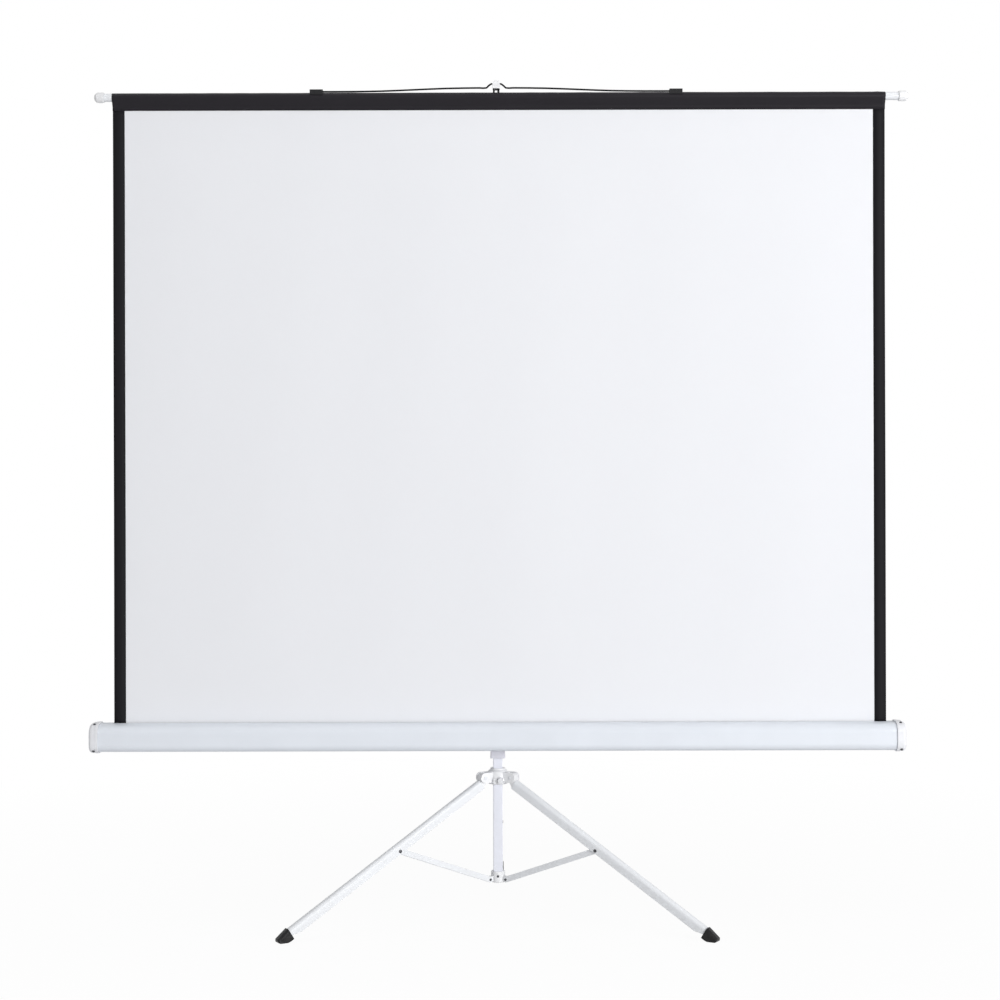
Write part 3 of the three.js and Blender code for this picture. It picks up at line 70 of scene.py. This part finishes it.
def shader_group(name, inputs, outputs):
    """Starts a node group with named sockets, and returns it with what it is given and what it gives."""
    group = bpy.data.node_groups.new(name, "ShaderNodeTree")
    kinds = {"value": "NodeSocketFloat", "colour": "NodeSocketColor"}
    for label, kind in inputs.items():
        group.interface.new_socket(label, in_out="INPUT", socket_type=kinds[kind])
    for label, kind in outputs.items():
        group.interface.new_socket(label, in_out="OUTPUT", socket_type=kinds[kind])
    given = group.nodes.new("NodeGroupInput").outputs
    gives = group.nodes.new("NodeGroupOutput").inputs
    return group, given, gives


def use_group(tree, group, sockets):
    """Places a node group in a material and returns its outputs."""
    node = put(tree, "Group", node_tree=group)
    for label, value in sockets.items():
        if isinstance(value, bpy.types.NodeSocket):
            tree.links.new(value, node.inputs[label])
        else:
            node.inputs[label].default_value = value
    return node.outputs


def span(tree, value, low, high, new_low, new_high):
    """Maps a value from one range to another, and holds it there."""
    sockets = {"Value": value, "From Min": low, "From Max": high, "To Min": new_low, "To Max": new_high}
    return put(tree, "MapRange", sockets).outputs["Result"]


def product(tree, first, second):
    return put(tree, "Math", {0: first, 1: second}, operation="MULTIPLY").outputs["Value"]


def blend_colours(tree, share, first, second):
    node = put(tree, "Mix", {0: share, 6: first, 7: second}, data_type="RGBA")
    return node.outputs[2]


def shaded(tree, colour, share):
    return put(tree, "VectorMath", {0: colour, "Scale": share}, operation="SCALE").outputs["Vector"]


def new_material(name):
    material = bpy.data.materials.new(name)
    material.use_nodes = True
    material.node_tree.nodes.clear()
    return material, material.node_tree


def close_material(tree, sockets):
    """Ends a material with its Principled shader."""
    shader = put(tree, "BsdfPrincipled", sockets)
    put(tree, "OutputMaterial", {"Surface": shader.outputs["BSDF"]})


powder_skin, given, gives = shader_group(
    "powder coat skin", {"Colour": "colour"}, {"Colour": "colour", "Roughness": "value", "Height": "value"}
)
place = put(powder_skin, "TexCoord").outputs["Object"]
peel = put(powder_skin, "TexNoise", {"Vector": place, "Scale": 620.0, "Detail": 2.0}).outputs["Fac"]
cloud = put(powder_skin, "TexNoise", {"Vector": place, "Scale": 11.0, "Detail": 4.0}).outputs["Fac"]
fleck = put(powder_skin, "TexNoise", {"Vector": place, "Scale": 2600.0, "Detail": 1.0}).outputs["Fac"]
clouded = span(powder_skin, cloud, 0.3, 0.7, 0.98, 1.01)
tone = product(powder_skin, clouded, span(powder_skin, fleck, 0.3, 0.7, 0.985, 1.01))
powder_skin.links.new(shaded(powder_skin, given["Colour"], tone), gives["Colour"])
powder_skin.links.new(span(powder_skin, cloud, 0.3, 0.7, 0.36, 0.48), gives["Roughness"])
powder_skin.links.new(peel, gives["Height"])

edge_rub, given, gives = shader_group("edge rub", {"Width": "value"}, {"Mask": "value"})
place = put(edge_rub, "TexCoord").outputs["Object"]
rounded = put(edge_rub, "Bevel", {"Radius": given["Width"]}, samples=4).outputs["Normal"]
flat = put(edge_rub, "NewGeometry").outputs["Normal"]
turn = put(edge_rub, "VectorMath", {0: rounded, 1: flat}, operation="DOT_PRODUCT").outputs["Value"]
patch = put(edge_rub, "TexNoise", {"Vector": place, "Scale": 160.0, "Detail": 5.0}).outputs["Fac"]
edge = span(edge_rub, turn, 0.86, 0.99, 1.0, 0.0)
edge_rub.links.new(product(edge_rub, edge, span(edge_rub, patch, 0.42, 0.62, 0.0, 1.0)), gives["Mask"])

# Painted shade: a mask that grows where ambient occlusion finds other surfaces close by, so corners, recesses and
# gaps between parts are darkened as if shaded.
crevice_shade, given, gives = shader_group("crevice_shade", {"Reach": "value"}, {"Mask": "value"})
opened = put(crevice_shade, "AmbientOcclusion", {"Distance": given["Reach"]}, samples=8).outputs["AO"]
crevice_shade.links.new(span(crevice_shade, opened, 0.15, 0.75, 1.0, 0.0), gives["Mask"])

floor_dust, given, gives = shader_group("floor dust", {"Top": "value"}, {"Mask": "value"})
place = put(floor_dust, "TexCoord").outputs["Object"]
height = put(floor_dust, "SeparateXYZ", {0: place}).outputs["Z"]
low = put(floor_dust, "Math", {0: height, 1: given["Top"]}, operation="DIVIDE").outputs["Value"]
patch = put(floor_dust, "TexNoise", {"Vector": place, "Scale": 75.0, "Detail": 6.0}).outputs["Fac"]
near_floor = span(floor_dust, low, 0.0, 1.0, 1.0, 0.0)
dusted = product(floor_dust, near_floor, span(floor_dust, patch, 0.4, 0.75, 0.0, 1.0))
floor_dust.links.new(dusted, gives["Mask"])


# The grey that painted shade darkens corners and recesses towards.
CREVICE_SHADE_GREY = (0.26, 0.25, 0.25, 1)


def painted_steel(name, colour):
    """White powder coat on steel with painted shade in its crevices, greyer on rubbed corners, and dusty near the
    floor.
    """
    material, tree = new_material(name)
    skin = use_group(tree, powder_skin, {"Colour": colour})
    rub = use_group(tree, edge_rub, {"Width": 0.0012})["Mask"]
    dust = use_group(tree, floor_dust, {"Top": 0.25})["Mask"]
    rubbed = blend_colours(tree, product(tree, rub, 0.22), skin["Colour"], (0.47, 0.49, 0.53, 1))
    dusty = blend_colours(tree, product(tree, dust, 0.12), rubbed, (0.42, 0.40, 0.37, 1))
    # Painted shade: the coat is darkened in corners and recesses by the crevice mask.
    shade_mask = use_group(tree, crevice_shade, {"Reach": 0.005})["Mask"]
    with_shade = blend_colours(tree, product(tree, shade_mask, 0.3), dusty, CREVICE_SHADE_GREY)
    bump = put(tree, "Bump", {"Height": skin["Height"], "Strength": 0.05, "Distance": 0.0002})
    close_material(tree, {
        "Base Color": with_shade, "Roughness": skin["Roughness"], "Normal": bump.outputs["Normal"],
        "Specular IOR Level": 0.4,
    })
    return material


def dress(material, width, *names):
    """Gives CAD nodes their finish, their corners eased by a width and their round faces smooth."""
    for name in names:
        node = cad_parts[name]
        node.material_slots[0].material = material
        node.select_set(True)
        merged = node.modifiers.new("merged corners", "WELD")
        merged.merge_threshold = 0.00001
        eased = node.modifiers.new("eased corners", "BEVEL")
        eased.width = width
        eased.segments = 2
        eased.limit_method = "ANGLE"
        eased.angle_limit = math.radians(33)
        even = node.modifiers.new("even shading", "WEIGHTED_NORMAL")
        even.weight = 80
        bpy.context.view_layer.objects.active = node
    bpy.ops.object.shade_smooth()
    bpy.ops.object.select_all(action="DESELECT")


mast_paint = painted_steel("white mast coat", (0.835, 0.850, 0.925, 1))
dress(mast_paint, 0.0003, "mast_tube", "extension_tube")

# Foot bracket, leg hub and leg knuckles: white moulded plastic with a fine spark grain from the mould.
# The bracket is riveted to the mast, the hub slides on it, and a knuckle plugs into the top of each leg.
moulded_grain, given, gives = shader_group(
    "moulded grain", {"Colour": "colour", "Grain": "value"},
    {"Colour": "colour", "Roughness": "value", "Height": "value"},
)
place = put(moulded_grain, "TexCoord").outputs["Object"]
sparked = {"Vector": place, "Scale": given["Grain"], "Detail": 3.0}
spark = put(moulded_grain, "TexNoise", sparked).outputs["Fac"]
flow = put(moulded_grain, "TexNoise", {"Vector": place, "Scale": 28.0, "Detail": 3.0}).outputs["Fac"]
moulded_grain.links.new(
    shaded(moulded_grain, given["Colour"], span(moulded_grain, flow, 0.3, 0.7, 0.95, 1.04)), gives["Colour"]
)
moulded_grain.links.new(span(moulded_grain, spark, 0.3, 0.7, 0.4, 0.56), gives["Roughness"])
moulded_grain.links.new(spark, gives["Height"])


def moulding(name, colour, rubbed_colour, grain, rub_share, shade_share, specular):
    """Moulded plastic with a fine grain, with painted shade in its crevices, and scuffed a little along its edges."""
    material, tree = new_material(name)
    skin = use_group(tree, moulded_grain, {"Colour": colour, "Grain": grain})
    rub = use_group(tree, edge_rub, {"Width": 0.0015})["Mask"]
    worn = blend_colours(tree, product(tree, rub, rub_share), skin["Colour"], rubbed_colour)
    # Painted shade: the moulding is darkened in corners and recesses by the crevice mask, by no more than a share.
    shade_mask = use_group(tree, crevice_shade, {"Reach": 0.006})["Mask"]
    with_shade = blend_colours(tree, product(tree, shade_mask, shade_share), worn, CREVICE_SHADE_GREY)
    bump = put(tree, "Bump", {"Height": skin["Height"], "Strength": 0.16, "Distance": 0.0002})
    close_material(tree, {
        "Base Color": with_shade, "Roughness": skin["Roughness"], "Normal": bump.outputs["Normal"],
        "Specular IOR Level": specular,
    })
    return material


MOULDED_WHITE = (0.875, 0.88, 0.895, 1)
white_moulding = moulding("white moulding", MOULDED_WHITE, (0.58, 0.59, 0.61, 1), 1500.0, 0.2, 0.2, 0.45)
legs = ("right", "left", "rear")
dress(white_moulding, 0.0005, "foot_bracket", "leg_hub")
dress(white_moulding, 0.0006, *["leg_knuckle_" + leg for leg in legs])


# Rivets and pins: headed steel, blackened against rust, one through each joint of the legs and braces.
# Their heads shine where tools and hands have touched them. The hub's own pins are painted over.
def steel(name, colour, bright_colour, roughness):
    """Bare or blackened steel with fine drawn lines and brighter edges."""
    material, tree = new_material(name)
    place = put(tree, "TexCoord").outputs["Object"]
    drawn = put(tree, "TexNoise", {"Vector": place, "Scale": 900.0, "Detail": 4.0}).outputs["Fac"]
    stain = put(tree, "TexNoise", {"Vector": place, "Scale": 120.0, "Detail": 3.0}).outputs["Fac"]
    rub = use_group(tree, edge_rub, {"Width": 0.0008})["Mask"]
    surface = blend_colours(tree, product(tree, rub, 0.6), colour, bright_colour)
    toned = shaded(tree, surface, span(tree, stain, 0.3, 0.7, 0.82, 1.08))
    bump = put(tree, "Bump", {"Height": drawn, "Strength": 0.1, "Distance": 0.0002})
    close_material(tree, {
        "Base Color": toned, "Roughness": span(tree, drawn, 0.3, 0.7, roughness - 0.06, roughness + 0.08),
        "Metallic": 1.0, "Normal": bump.outputs["Normal"],
    })
    return material


frame_paint = painted_steel("white frame coat", (0.825, 0.842, 0.868, 1))
dark_steel = steel("blackened steel", (0.075, 0.075, 0.082, 1), (0.4, 0.4, 0.41, 1), 0.42)
dress(dark_steel, 0.0002, "bracket_rivet")
for leg in legs:
    dress(dark_steel, 0.0002, "leg_rivet_" + leg, "brace_pin_" + leg)
    dress(frame_paint, 0.0002, "hub_pin_" + leg)

# Legs and braces: pressed steel channels with a white powder coat of their own, a little less blue than the mast's.
# Each leg is open below, and its walls are trimmed back before the boot; each brace is open above.
dress(frame_paint, 0.0003, *["leg_channel_" + leg for leg in legs])
dress(frame_paint, 0.0002, *["brace_" + leg for leg in legs])


# Boots: soft black rubber pushed over the ends of the legs, scuffed and dusty round the sole.
def rubber(name, colour):
    """Matt black rubber, paler where it is scuffed and dusty near the floor."""
    material, tree = new_material(name)
    skin = use_group(tree, moulded_grain, {"Colour": colour, "Grain": 1100.0})
    dust = use_group(tree, floor_dust, {"Top": 0.026})["Mask"]
    scuff = use_group(tree, edge_rub, {"Width": 0.0025})["Mask"]
    scuffed = blend_colours(tree, product(tree, scuff, 0.2), skin["Colour"], (0.085, 0.083, 0.083, 1))
    dusty = blend_colours(tree, product(tree, dust, 0.2), scuffed, (0.16, 0.15, 0.135, 1))
    place = put(tree, "TexCoord").outputs["Object"]
    dent = put(tree, "TexNoise", {"Vector": place, "Scale": 190.0, "Detail": 2.0}).outputs["Fac"]
    dented = put(tree, "Bump", {"Height": dent, "Strength": 0.5, "Distance": 0.002})
    grain = {"Height": skin["Height"], "Strength": 0.25, "Distance": 0.0003, "Normal": dented.outputs["Normal"]}
    bump = put(tree, "Bump", grain)
    close_material(tree, {
        "Base Color": dusty, "Roughness": span(tree, skin["Roughness"], 0.4, 0.56, 0.36, 0.5),
        "Normal": bump.outputs["Normal"], "Specular IOR Level": 0.22,
    })
    return material


boot_rubber = rubber("boot rubber", (0.005, 0.005, 0.006, 1))
dress(boot_rubber, 0.0008, *["foot_boot_" + leg for leg in legs])

# Hub knob, pins and bolts: plain bright steel, turned or knurled, left bare.
bright_steel = steel("bright steel", (0.76, 0.77, 0.80, 1), (0.86, 0.87, 0.88, 1), 0.28)
dress(bright_steel, 0.0003, "hub_knob", "case_pivot_bolt", "lever_pin")
dress(bright_steel, 0.0002, "spring_arbor", "roller_idler_pin", "roller_spring", "roller_tube")

# Mast collar, its cam lever and the carriage's clamp knob: black nylon mouldings, behind the cloth.
# The lever's cam presses on the extension tube, and the knob's screw on the mast.
SOFT_BLACK = (0.009, 0.009, 0.0105, 1)
black_moulding = moulding("black moulding", SOFT_BLACK, (0.05, 0.05, 0.052, 1), 1300.0, 0.4, 0.02, 0.25)
dress(black_moulding, 0.0005, "mast_collar", "collar_lever", "carriage_knob")
dress(black_moulding, 0.0003, "roller_plug_spring", "roller_plug_idler")

# Carriage and mounting plate: a moulded sleeve on the mast, and the painted plate that bolts the case to it. The
# sleeve is coloured as a greyer, lilac copy of the white moulding: its grey is painted shade of the case that hangs
# over it.
sleeve_in_painted_shade = moulding(
    "shade_darkened grey moulding", (0.750, 0.745, 0.810, 1), (0.58, 0.59, 0.61, 1), 1500.0, 0.2, 0.2, 0.45
)
dress(sleeve_in_painted_shade, 0.0005, "carriage_sleeve")
dress(frame_paint, 0.0003, "case_mount_plate")

# Case: a rolled steel housing with a cooler white coat and a slot along its top, closed by a moulded cap at
# each end. Two screws through each cap hold it on the shell.
case_paint = painted_steel("white case coat", (0.775, 0.812, 0.868, 1))
dress(case_paint, 0.0002, "case_shell")
cap_moulding = moulding("off white moulding", (0.820, 0.828, 0.858, 1), (0.58, 0.59, 0.61, 1), 1500.0, 0.2, 0.2, 0.45)
dress(cap_moulding, 0.0006, "case_cap_left", "case_cap_right")
for corner in ("top_right", "low_right", "top_left", "low_left"):
    dress(dark_steel, 0.0002, "cap_screw_" + corner)

# Screen cloth: matt white fabric with a black back, wound on the roller and drawn up out of the slot.
# It hangs nearly flat, with faint ripples that die away at the slot and at the top rod.
CLOTH_LOW, CLOTH_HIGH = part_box("screen_sheet")
CLOTH_THICKNESS = 0.0004
CLOTH_COLUMNS = 60
CLOTH_ROWS = 72
RIPPLE_FADE = 0.28


def ripple(x, z):
    """How far the cloth stands towards the viewer at a place."""
    above_slot = min(max((z - 0.46) / RIPPLE_FADE, 0), 1)
    below_hem = min(max((1.88 - z) / RIPPLE_FADE, 0), 1)
    fade = math.sin(above_slot * math.pi / 2) * math.sin(below_hem * math.pi / 2)
    long_wave = 0.0009 * math.sin(9.6 * x + 0.7 * z + 0.6)
    short_wave = 0.0005 * math.sin(21.0 * x - 2.2 * z + 1.9)
    across = 0.0005 * math.sin(6.5 * z + 1.3 * x)
    return fade * (long_wave + short_wave + across)


def cloth_panel(name, left, right, profile, columns):
    """Cloth of one width whose rows follow a profile of (y, z) points, with its UV map in metres."""
    rows = len(profile) - 1
    bpy.ops.mesh.primitive_grid_add(x_subdivisions=columns, y_subdivisions=rows, size=1)
    panel = bpy.context.object
    panel.name = name
    lengths = [0.0]
    for before, after in zip(profile, profile[1:]):
        lengths.append(lengths[-1] + math.dist(before, after))
    metres = panel.data.uv_layers.active.data
    for corner in panel.data.loops:
        spot = panel.data.vertices[corner.vertex_index].co
        across = left + (spot.x + 0.5) * (right - left)
        metres[corner.index].uv = (across, lengths[round((spot.y + 0.5) * rows)])
    for point in panel.data.vertices:
        y, z = profile[round((point.co.y + 0.5) * rows)]
        point.co = (left + (point.co.x + 0.5) * (right - left), y, z)
    bpy.ops.object.shade_smooth()
    return panel


def hang(panel):
    """Lets a flat panel ripple."""
    for point in panel.data.vertices:
        point.co.y -= ripple(point.co.x, point.co.z)


def upright(front, low, high):
    """The profile of a panel that hangs straight."""
    return [(front, low + (high - low) * row / CLOTH_ROWS) for row in range(CLOTH_ROWS + 1)]


def thicken(piece, thickness, back_slot=0):
    """Gives a sheet its thickness towards its back, which can have a finish of its own."""
    layers = piece.modifiers.new("layers", "SOLIDIFY")
    layers.thickness = thickness
    layers.offset = -1
    layers.material_offset = back_slot
    layers.material_offset_rim = back_slot
    bpy.context.view_layer.objects.active = piece
    bpy.ops.object.modifier_apply(modifier="layers")


weave, given, gives = shader_group("plain weave", {"Thread": "value"}, {"Height": "value", "Cover": "value"})
place = put(weave, "TexCoord").outputs["UV"]
along = put(weave, "VectorMath", {0: place, "Scale": given["Thread"]}, operation="SCALE").outputs["Vector"]
axes = put(weave, "SeparateXYZ", {0: along})
warp = put(weave, "Math", {0: axes.outputs["X"]}, operation="SINE").outputs["Value"]
weft = put(weave, "Math", {0: axes.outputs["Y"]}, operation="SINE").outputs["Value"]
crossing = product(weave, warp, weft)
uneven = put(weave, "TexNoise", {"Vector": place, "Scale": 340.0, "Detail": 4.0}).outputs["Fac"]
weave.links.new(crossing, gives["Height"])
weave.links.new(span(weave, uneven, 0.3, 0.7, 0.0, 1.0), gives["Cover"])


def cloth(name, colour, thread, bump_strength, roughness, specular, mottle):
    """Coated cloth: a woven ground that shows faintly through its coat."""
    material, tree = new_material(name)
    ground = use_group(tree, weave, {"Thread": thread})
    toned = shaded(tree, colour[:3], span(tree, ground["Cover"], 0.0, 1.0, 1 - mottle, 1 + mottle))
    rough = span(tree, ground["Cover"], 0.0, 1.0, roughness - 0.05, roughness + 0.05)
    bump = put(tree, "Bump", {"Height": ground["Height"], "Strength": bump_strength, "Distance": 0.0001})
    close_material(tree, {
        "Base Color": toned, "Roughness": rough, "Normal": bump.outputs["Normal"],
        "Specular IOR Level": specular,
    })
    return material


white_cloth = cloth("matt white screen coat", (0.845, 0.855, 0.885, 1), 9000.0, 0.2, 0.9, 0.2, 0.006)
black_back = cloth("black backing", (0.010, 0.010, 0.011, 1), 6000.0, 0.35, 0.75, 0.15, 0.08)

flat_sheet = upright(CLOTH_LOW.y, CLOTH_LOW.z, CLOTH_HIGH.z)
sheet = cloth_panel("screen_cloth", CLOTH_LOW.x, CLOTH_HIGH.x, flat_sheet, CLOTH_COLUMNS)
hang(sheet)
sheet.data.materials.append(white_cloth)
sheet.data.materials.append(black_back)
thicken(sheet, CLOTH_THICKNESS, 1)
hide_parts("screen_sheet")
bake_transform(sheet)

# Black borders: strips of black cloth laid along both sides of the white, to frame the picture.
# Their upper ends are caught in the seam of the hem.
HEM_LOW, HEM_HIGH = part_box("top_hem")
SEAM_Z = HEM_LOW.z + 0.0085
black_cloth = cloth("black border cloth", (0.0105, 0.010, 0.012, 1), 7000.0, 0.3, 0.6, 0.1, 0.06)
for side in ("left", "right"):
    low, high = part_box("border_" + side)
    strip = cloth_panel("border_cloth_" + side, low.x, high.x, upright(low.y, low.z, SEAM_Z), 2)
    hang(strip)
    strip.data.materials.append(black_cloth)
    thicken(strip, high.y - low.y)
    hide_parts("border_" + side)
    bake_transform(strip)

# Cloth on the roller: the turns that are left in the case, wound on the roller's tube from the back.
ROLL_LOW, ROLL_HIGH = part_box("fabric_roll")
TUBE_LOW, TUBE_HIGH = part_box("roller_tube")
ROLLER_MIDDLE = (TUBE_LOW + TUBE_HIGH) / 2
ROLL_INSIDE = (TUBE_HIGH.z - TUBE_LOW.z) / 2 + 0.0003
ROLL_PITCH = 0.0005
ROLL_TURNS = 3
TURN_STEPS = 36
wound = []
for step in range(ROLL_TURNS * TURN_STEPS + 1):
    turns = step / TURN_STEPS
    reach = ROLL_INSIDE + CLOTH_THICKNESS + ROLL_PITCH * turns
    angle = 2 * math.pi * turns
    wound.append((ROLLER_MIDDLE.y + reach * math.cos(angle), ROLLER_MIDDLE.z + reach * math.sin(angle)))
roll = cloth_panel("wound_cloth", ROLL_LOW.x, ROLL_HIGH.x, wound, 12)
roll.data.materials.append(white_cloth)
roll.data.materials.append(black_back)
thicken(roll, CLOTH_THICKNESS, 1)
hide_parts("fabric_roll")
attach(roll, "roller")

# Top rod and its caps: a painted steel tube with a white moulded cap pushed on each end.
dress(frame_paint, 0.0002, "top_rod")
dress(white_moulding, 0.0004, "rod_cap_left", "rod_cap_right")

# Top hem: black cloth folded over the rod into a pocket. Its layers meet in a sewn seam below the rod, on
# both sides of the white cloth, and the front one hangs on a little below the seam.
ROD_LOW, ROD_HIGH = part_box("top_rod")
ROD_MIDDLE = (ROD_LOW + ROD_HIGH) / 2
POCKET_RADIUS = 0.0102
HEM_THICKNESS = 0.0004
HEM_COLUMNS = 300
FRONT_Y = CLOTH_LOW.y - 0.0007
BACK_Y = CLOTH_HIGH.y + 0.0005
SLOPE_STEPS = 6
grip = math.acos(POCKET_RADIUS / (ROD_MIDDLE.z - SEAM_Z))


def round_rod(angle):
    """A point of the pocket at an angle round the rod."""
    return (ROD_MIDDLE.y + POCKET_RADIUS * math.cos(angle), ROD_MIDDLE.z + POCKET_RADIUS * math.sin(angle))


def straight(start, end):
    """Even steps from one point towards another, without the last."""
    shares = [step / SLOPE_STEPS for step in range(SLOPE_STEPS)]
    return [tuple(a + (b - a) * share for a, b in zip(start, end)) for share in shares]


FRONT_TOUCH = 1.5 * math.pi - grip
BACK_TOUCH = grip - 0.5 * math.pi
over = [FRONT_TOUCH + (BACK_TOUCH - FRONT_TOUCH) * step / 24 for step in range(25)]
folded = [
    (FRONT_Y, HEM_LOW.z), *straight((FRONT_Y, SEAM_Z), round_rod(FRONT_TOUCH)),
    *[round_rod(angle) for angle in over],
    *straight(round_rod(BACK_TOUCH), (BACK_Y, SEAM_Z))[1:], (BACK_Y, SEAM_Z), (BACK_Y, SEAM_Z - 0.002),
]
hem = cloth_panel("hem_cloth", HEM_LOW.x, HEM_HIGH.x, folded, HEM_COLUMNS)
for point in hem.data.vertices:
    out = Vector((0, point.co.y - ROD_MIDDLE.y, point.co.z - ROD_MIDDLE.z))
    pucker = noise.noise(Vector((point.co.x * 26, out.y * 50, out.z * 50)))
    drag = noise.noise(Vector((point.co.x * 90 + out.z * 160, 0, out.z * 30)))
    near_end = max(0, 1 - (HEM_HIGH.x - point.co.x) / 0.12)
    loose = min(max((point.co.z - SEAM_Z) / 0.006, 0), 1)
    point.co += out.normalized() * loose * (0.0004 * max(pucker, -0.3) + 0.0007 * near_end * max(drag, -0.3))
thicken(hem, HEM_THICKNESS)
hem_black = cloth("black hem cloth", (0.0110, 0.0095, 0.0130, 1), 7000.0, 0.3, 0.5, 0.2, 0.06)
hem.data.materials.append(hem_black)
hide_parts("top_hem")
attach(hem, "extension")

# Seam of the hem: one row of black thread, each stitch a short arch that dips into the cloth at its ends.
STITCH_PITCH = 0.004
STITCH_HALF = Vector((0.0015, 0.0003, 0.00035))
bpy.ops.mesh.primitive_uv_sphere_add(segments=6, ring_count=5)
seam = bpy.context.object
seam.name = "hem_seam"
seam_start = HEM_LOW.x + STITCH_PITCH
for point in seam.data.vertices:
    up, out, along = point.co
    point.co = Vector((seam_start, FRONT_Y, SEAM_Z)) + STITCH_HALF * Vector((along, out, up))
row = seam.modifiers.new("row", "ARRAY")
row.use_relative_offset = False
row.use_constant_offset = True
row.constant_offset_displace = (STITCH_PITCH, 0, 0)
row.count = int((HEM_HIGH.x - HEM_LOW.x) / STITCH_PITCH) - 1
bpy.ops.object.modifier_apply(modifier="row")
bpy.ops.object.shade_smooth()
seam.data.materials.append(hem_black)
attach(seam, "extension")

# Hook neck: a black nylon plug pressed into the head of the extension, with a flange that rests on the
# tube and a small slot through it, from front to back, just below the hook.
NECK_LOW, NECK_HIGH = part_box("hook_neck")
NECK_MIDDLE = (NECK_LOW + NECK_HIGH) / 2
NECK_SIDE = 0.0154
FLANGE = 0.003
TUBE_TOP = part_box("extension_tube")[1].z
PLUG_SIDE = 0.0164


def block(side, low, high):
    """A square block about the neck's middle."""
    bpy.ops.mesh.primitive_cube_add(size=1, location=(NECK_MIDDLE.x, NECK_MIDDLE.y, (low + high) / 2))
    bpy.context.object.scale = (side, side, high - low)
    bpy.ops.object.transform_apply(location=True, rotation=True, scale=True)
    return bpy.context.object


bpy.ops.object.select_all(action="DESELECT")
plug = block(PLUG_SIDE, NECK_LOW.z, TUBE_TOP + FLANGE / 2)
flange = block(NECK_HIGH.x - NECK_LOW.x, TUBE_TOP + 0.0003, TUBE_TOP + FLANGE)
neck = block(NECK_SIDE, TUBE_TOP + FLANGE / 2, NECK_HIGH.z)
slot = block(0.006, NECK_HIGH.z - 0.0105, NECK_HIGH.z - 0.0022)
slot.data.transform(Matrix.Translation((-0.0004, 0, 0)))
for point in slot.data.vertices:
    point.co.y += math.copysign(0.02, point.co.y - NECK_MIDDLE.y)
for other, kind in ((slot, "DIFFERENCE"), (flange, "UNION"), (plug, "UNION")):
    shaped = neck.modifiers.new("shaped", "BOOLEAN")
    shaped.operation = kind
    shaped.object = other
    bpy.context.view_layer.objects.active = neck
    bpy.ops.object.modifier_apply(modifier="shaped")
    bpy.data.objects.remove(other)
rounding = neck.modifiers.new("rounding", "BEVEL")
rounding.width = 0.0005
rounding.segments = 2
bpy.ops.object.modifier_apply(modifier="rounding")
neck.select_set(True)
bpy.ops.object.shade_smooth_by_angle(angle=math.radians(35))
neck.name = "slotted_neck"
neck.data.materials.append(black_moulding)
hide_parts("hook_neck")
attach(neck, "extension")
bpy.ops.object.select_all(action="DESELECT")

# Bail, its anchors and the hook: a spring wire in matt black enamel, clipped to the hem at both ends and
# sprung up in the middle over the white hook that stands on the neck.
wire_enamel = moulding("black wire enamel", (0.005, 0.005, 0.006, 1), (0.03, 0.03, 0.032, 1), 900.0, 0.05, 0.0, 0.06)
dress(wire_enamel, 0.0002, "bail_wire")
dress(black_moulding, 0.0004, "bail_anchor_left", "bail_anchor_right")
dress(white_moulding, 0.0006, "screen_hook")

# Floor: a wide pale sweep that runs to plain white, and keeps the screen's shadow near its feet.
def seen_directly(tree):
    """1 for a ray that comes from the camera, a mirror or glass, and 0 for the light that falls on things."""
    path = put(tree, "LightPath").outputs
    plain = put(tree, "Math", {0: path["Is Camera Ray"], 1: path["Is Glossy Ray"]}, operation="MAXIMUM")
    glass = put(tree, "Math", {0: plain.outputs[0], 1: path["Is Transmission Ray"]}, operation="MAXIMUM")
    return glass.outputs[0]


bpy.ops.mesh.primitive_plane_add(size=80)
floor = bpy.context.object
floor.name = "floor"
material, tree = new_material("pale floor")
place = put(tree, "TexCoord").outputs["Object"]
away = put(tree, "VectorMath", {0: place}, operation="LENGTH").outputs["Value"]
share = product(tree, seen_directly(tree), span(tree, away, 0.6, 2.6, 0.955, 1.0))
pale = put(tree, "BsdfDiffuse", {"Color": (0.82, 0.82, 0.83, 1)})
white = put(tree, "Emission", {"Color": (1, 1, 1, 1), "Strength": 1.0})
mixed = put(tree, "MixShader", {0: share, 1: pale.outputs[0], 2: white.outputs[0]})
put(tree, "OutputMaterial", {"Surface": mixed.outputs[0]})
floor.data.materials.append(material)

# Light: an even white room, with one large soft lamp at the right front and a weak one low at the left.
world = bpy.data.worlds.new("white room")
bpy.context.scene.world = world
world.use_nodes = True
tree = world.node_tree
tree.nodes.clear()
strength = span(tree, seen_directly(tree), 0.0, 1.0, 0.40, 1.0)
sky = put(tree, "Background", {"Color": (1, 1, 1, 1), "Strength": strength})
put(tree, "OutputWorld", {"Surface": sky.outputs[0]})


def soft_lamp(name, place, size, power):
    """A square soft lamp that points at the middle of the cloth."""
    bpy.ops.object.light_add(type="AREA", location=place)
    lamp = bpy.context.object
    lamp.name = name
    lamp.data.size = size
    lamp.data.energy = power
    aim = Vector((0, -0.17, 1.0)) - Vector(place)
    lamp.rotation_euler = aim.to_track_quat("-Z", "Y").to_euler()


soft_lamp("key lamp", (5.5, -6.9, 1.9), 3.6, 490)
soft_lamp("fill lamp", (-1.2, -4.6, 0.7), 1.2, 1.2)
soft_lamp("top lamp", (-1.5, -1.5, 8.5), 4.0, 90)

# Camera: level, a little below the middle of the cloth's height, 4.5 m in front of it.
bpy.ops.object.camera_add(location=(0.024, -4.660, 0.9766), rotation=(math.pi / 2, math.radians(0.14), 0))
camera = bpy.context.object
camera.data.lens = 69.23
camera.data.shift_x = -0.0074
camera.data.sensor_width = 36
bpy.context.scene.camera = camera
bpy.context.scene.view_settings.view_transform = "Standard"
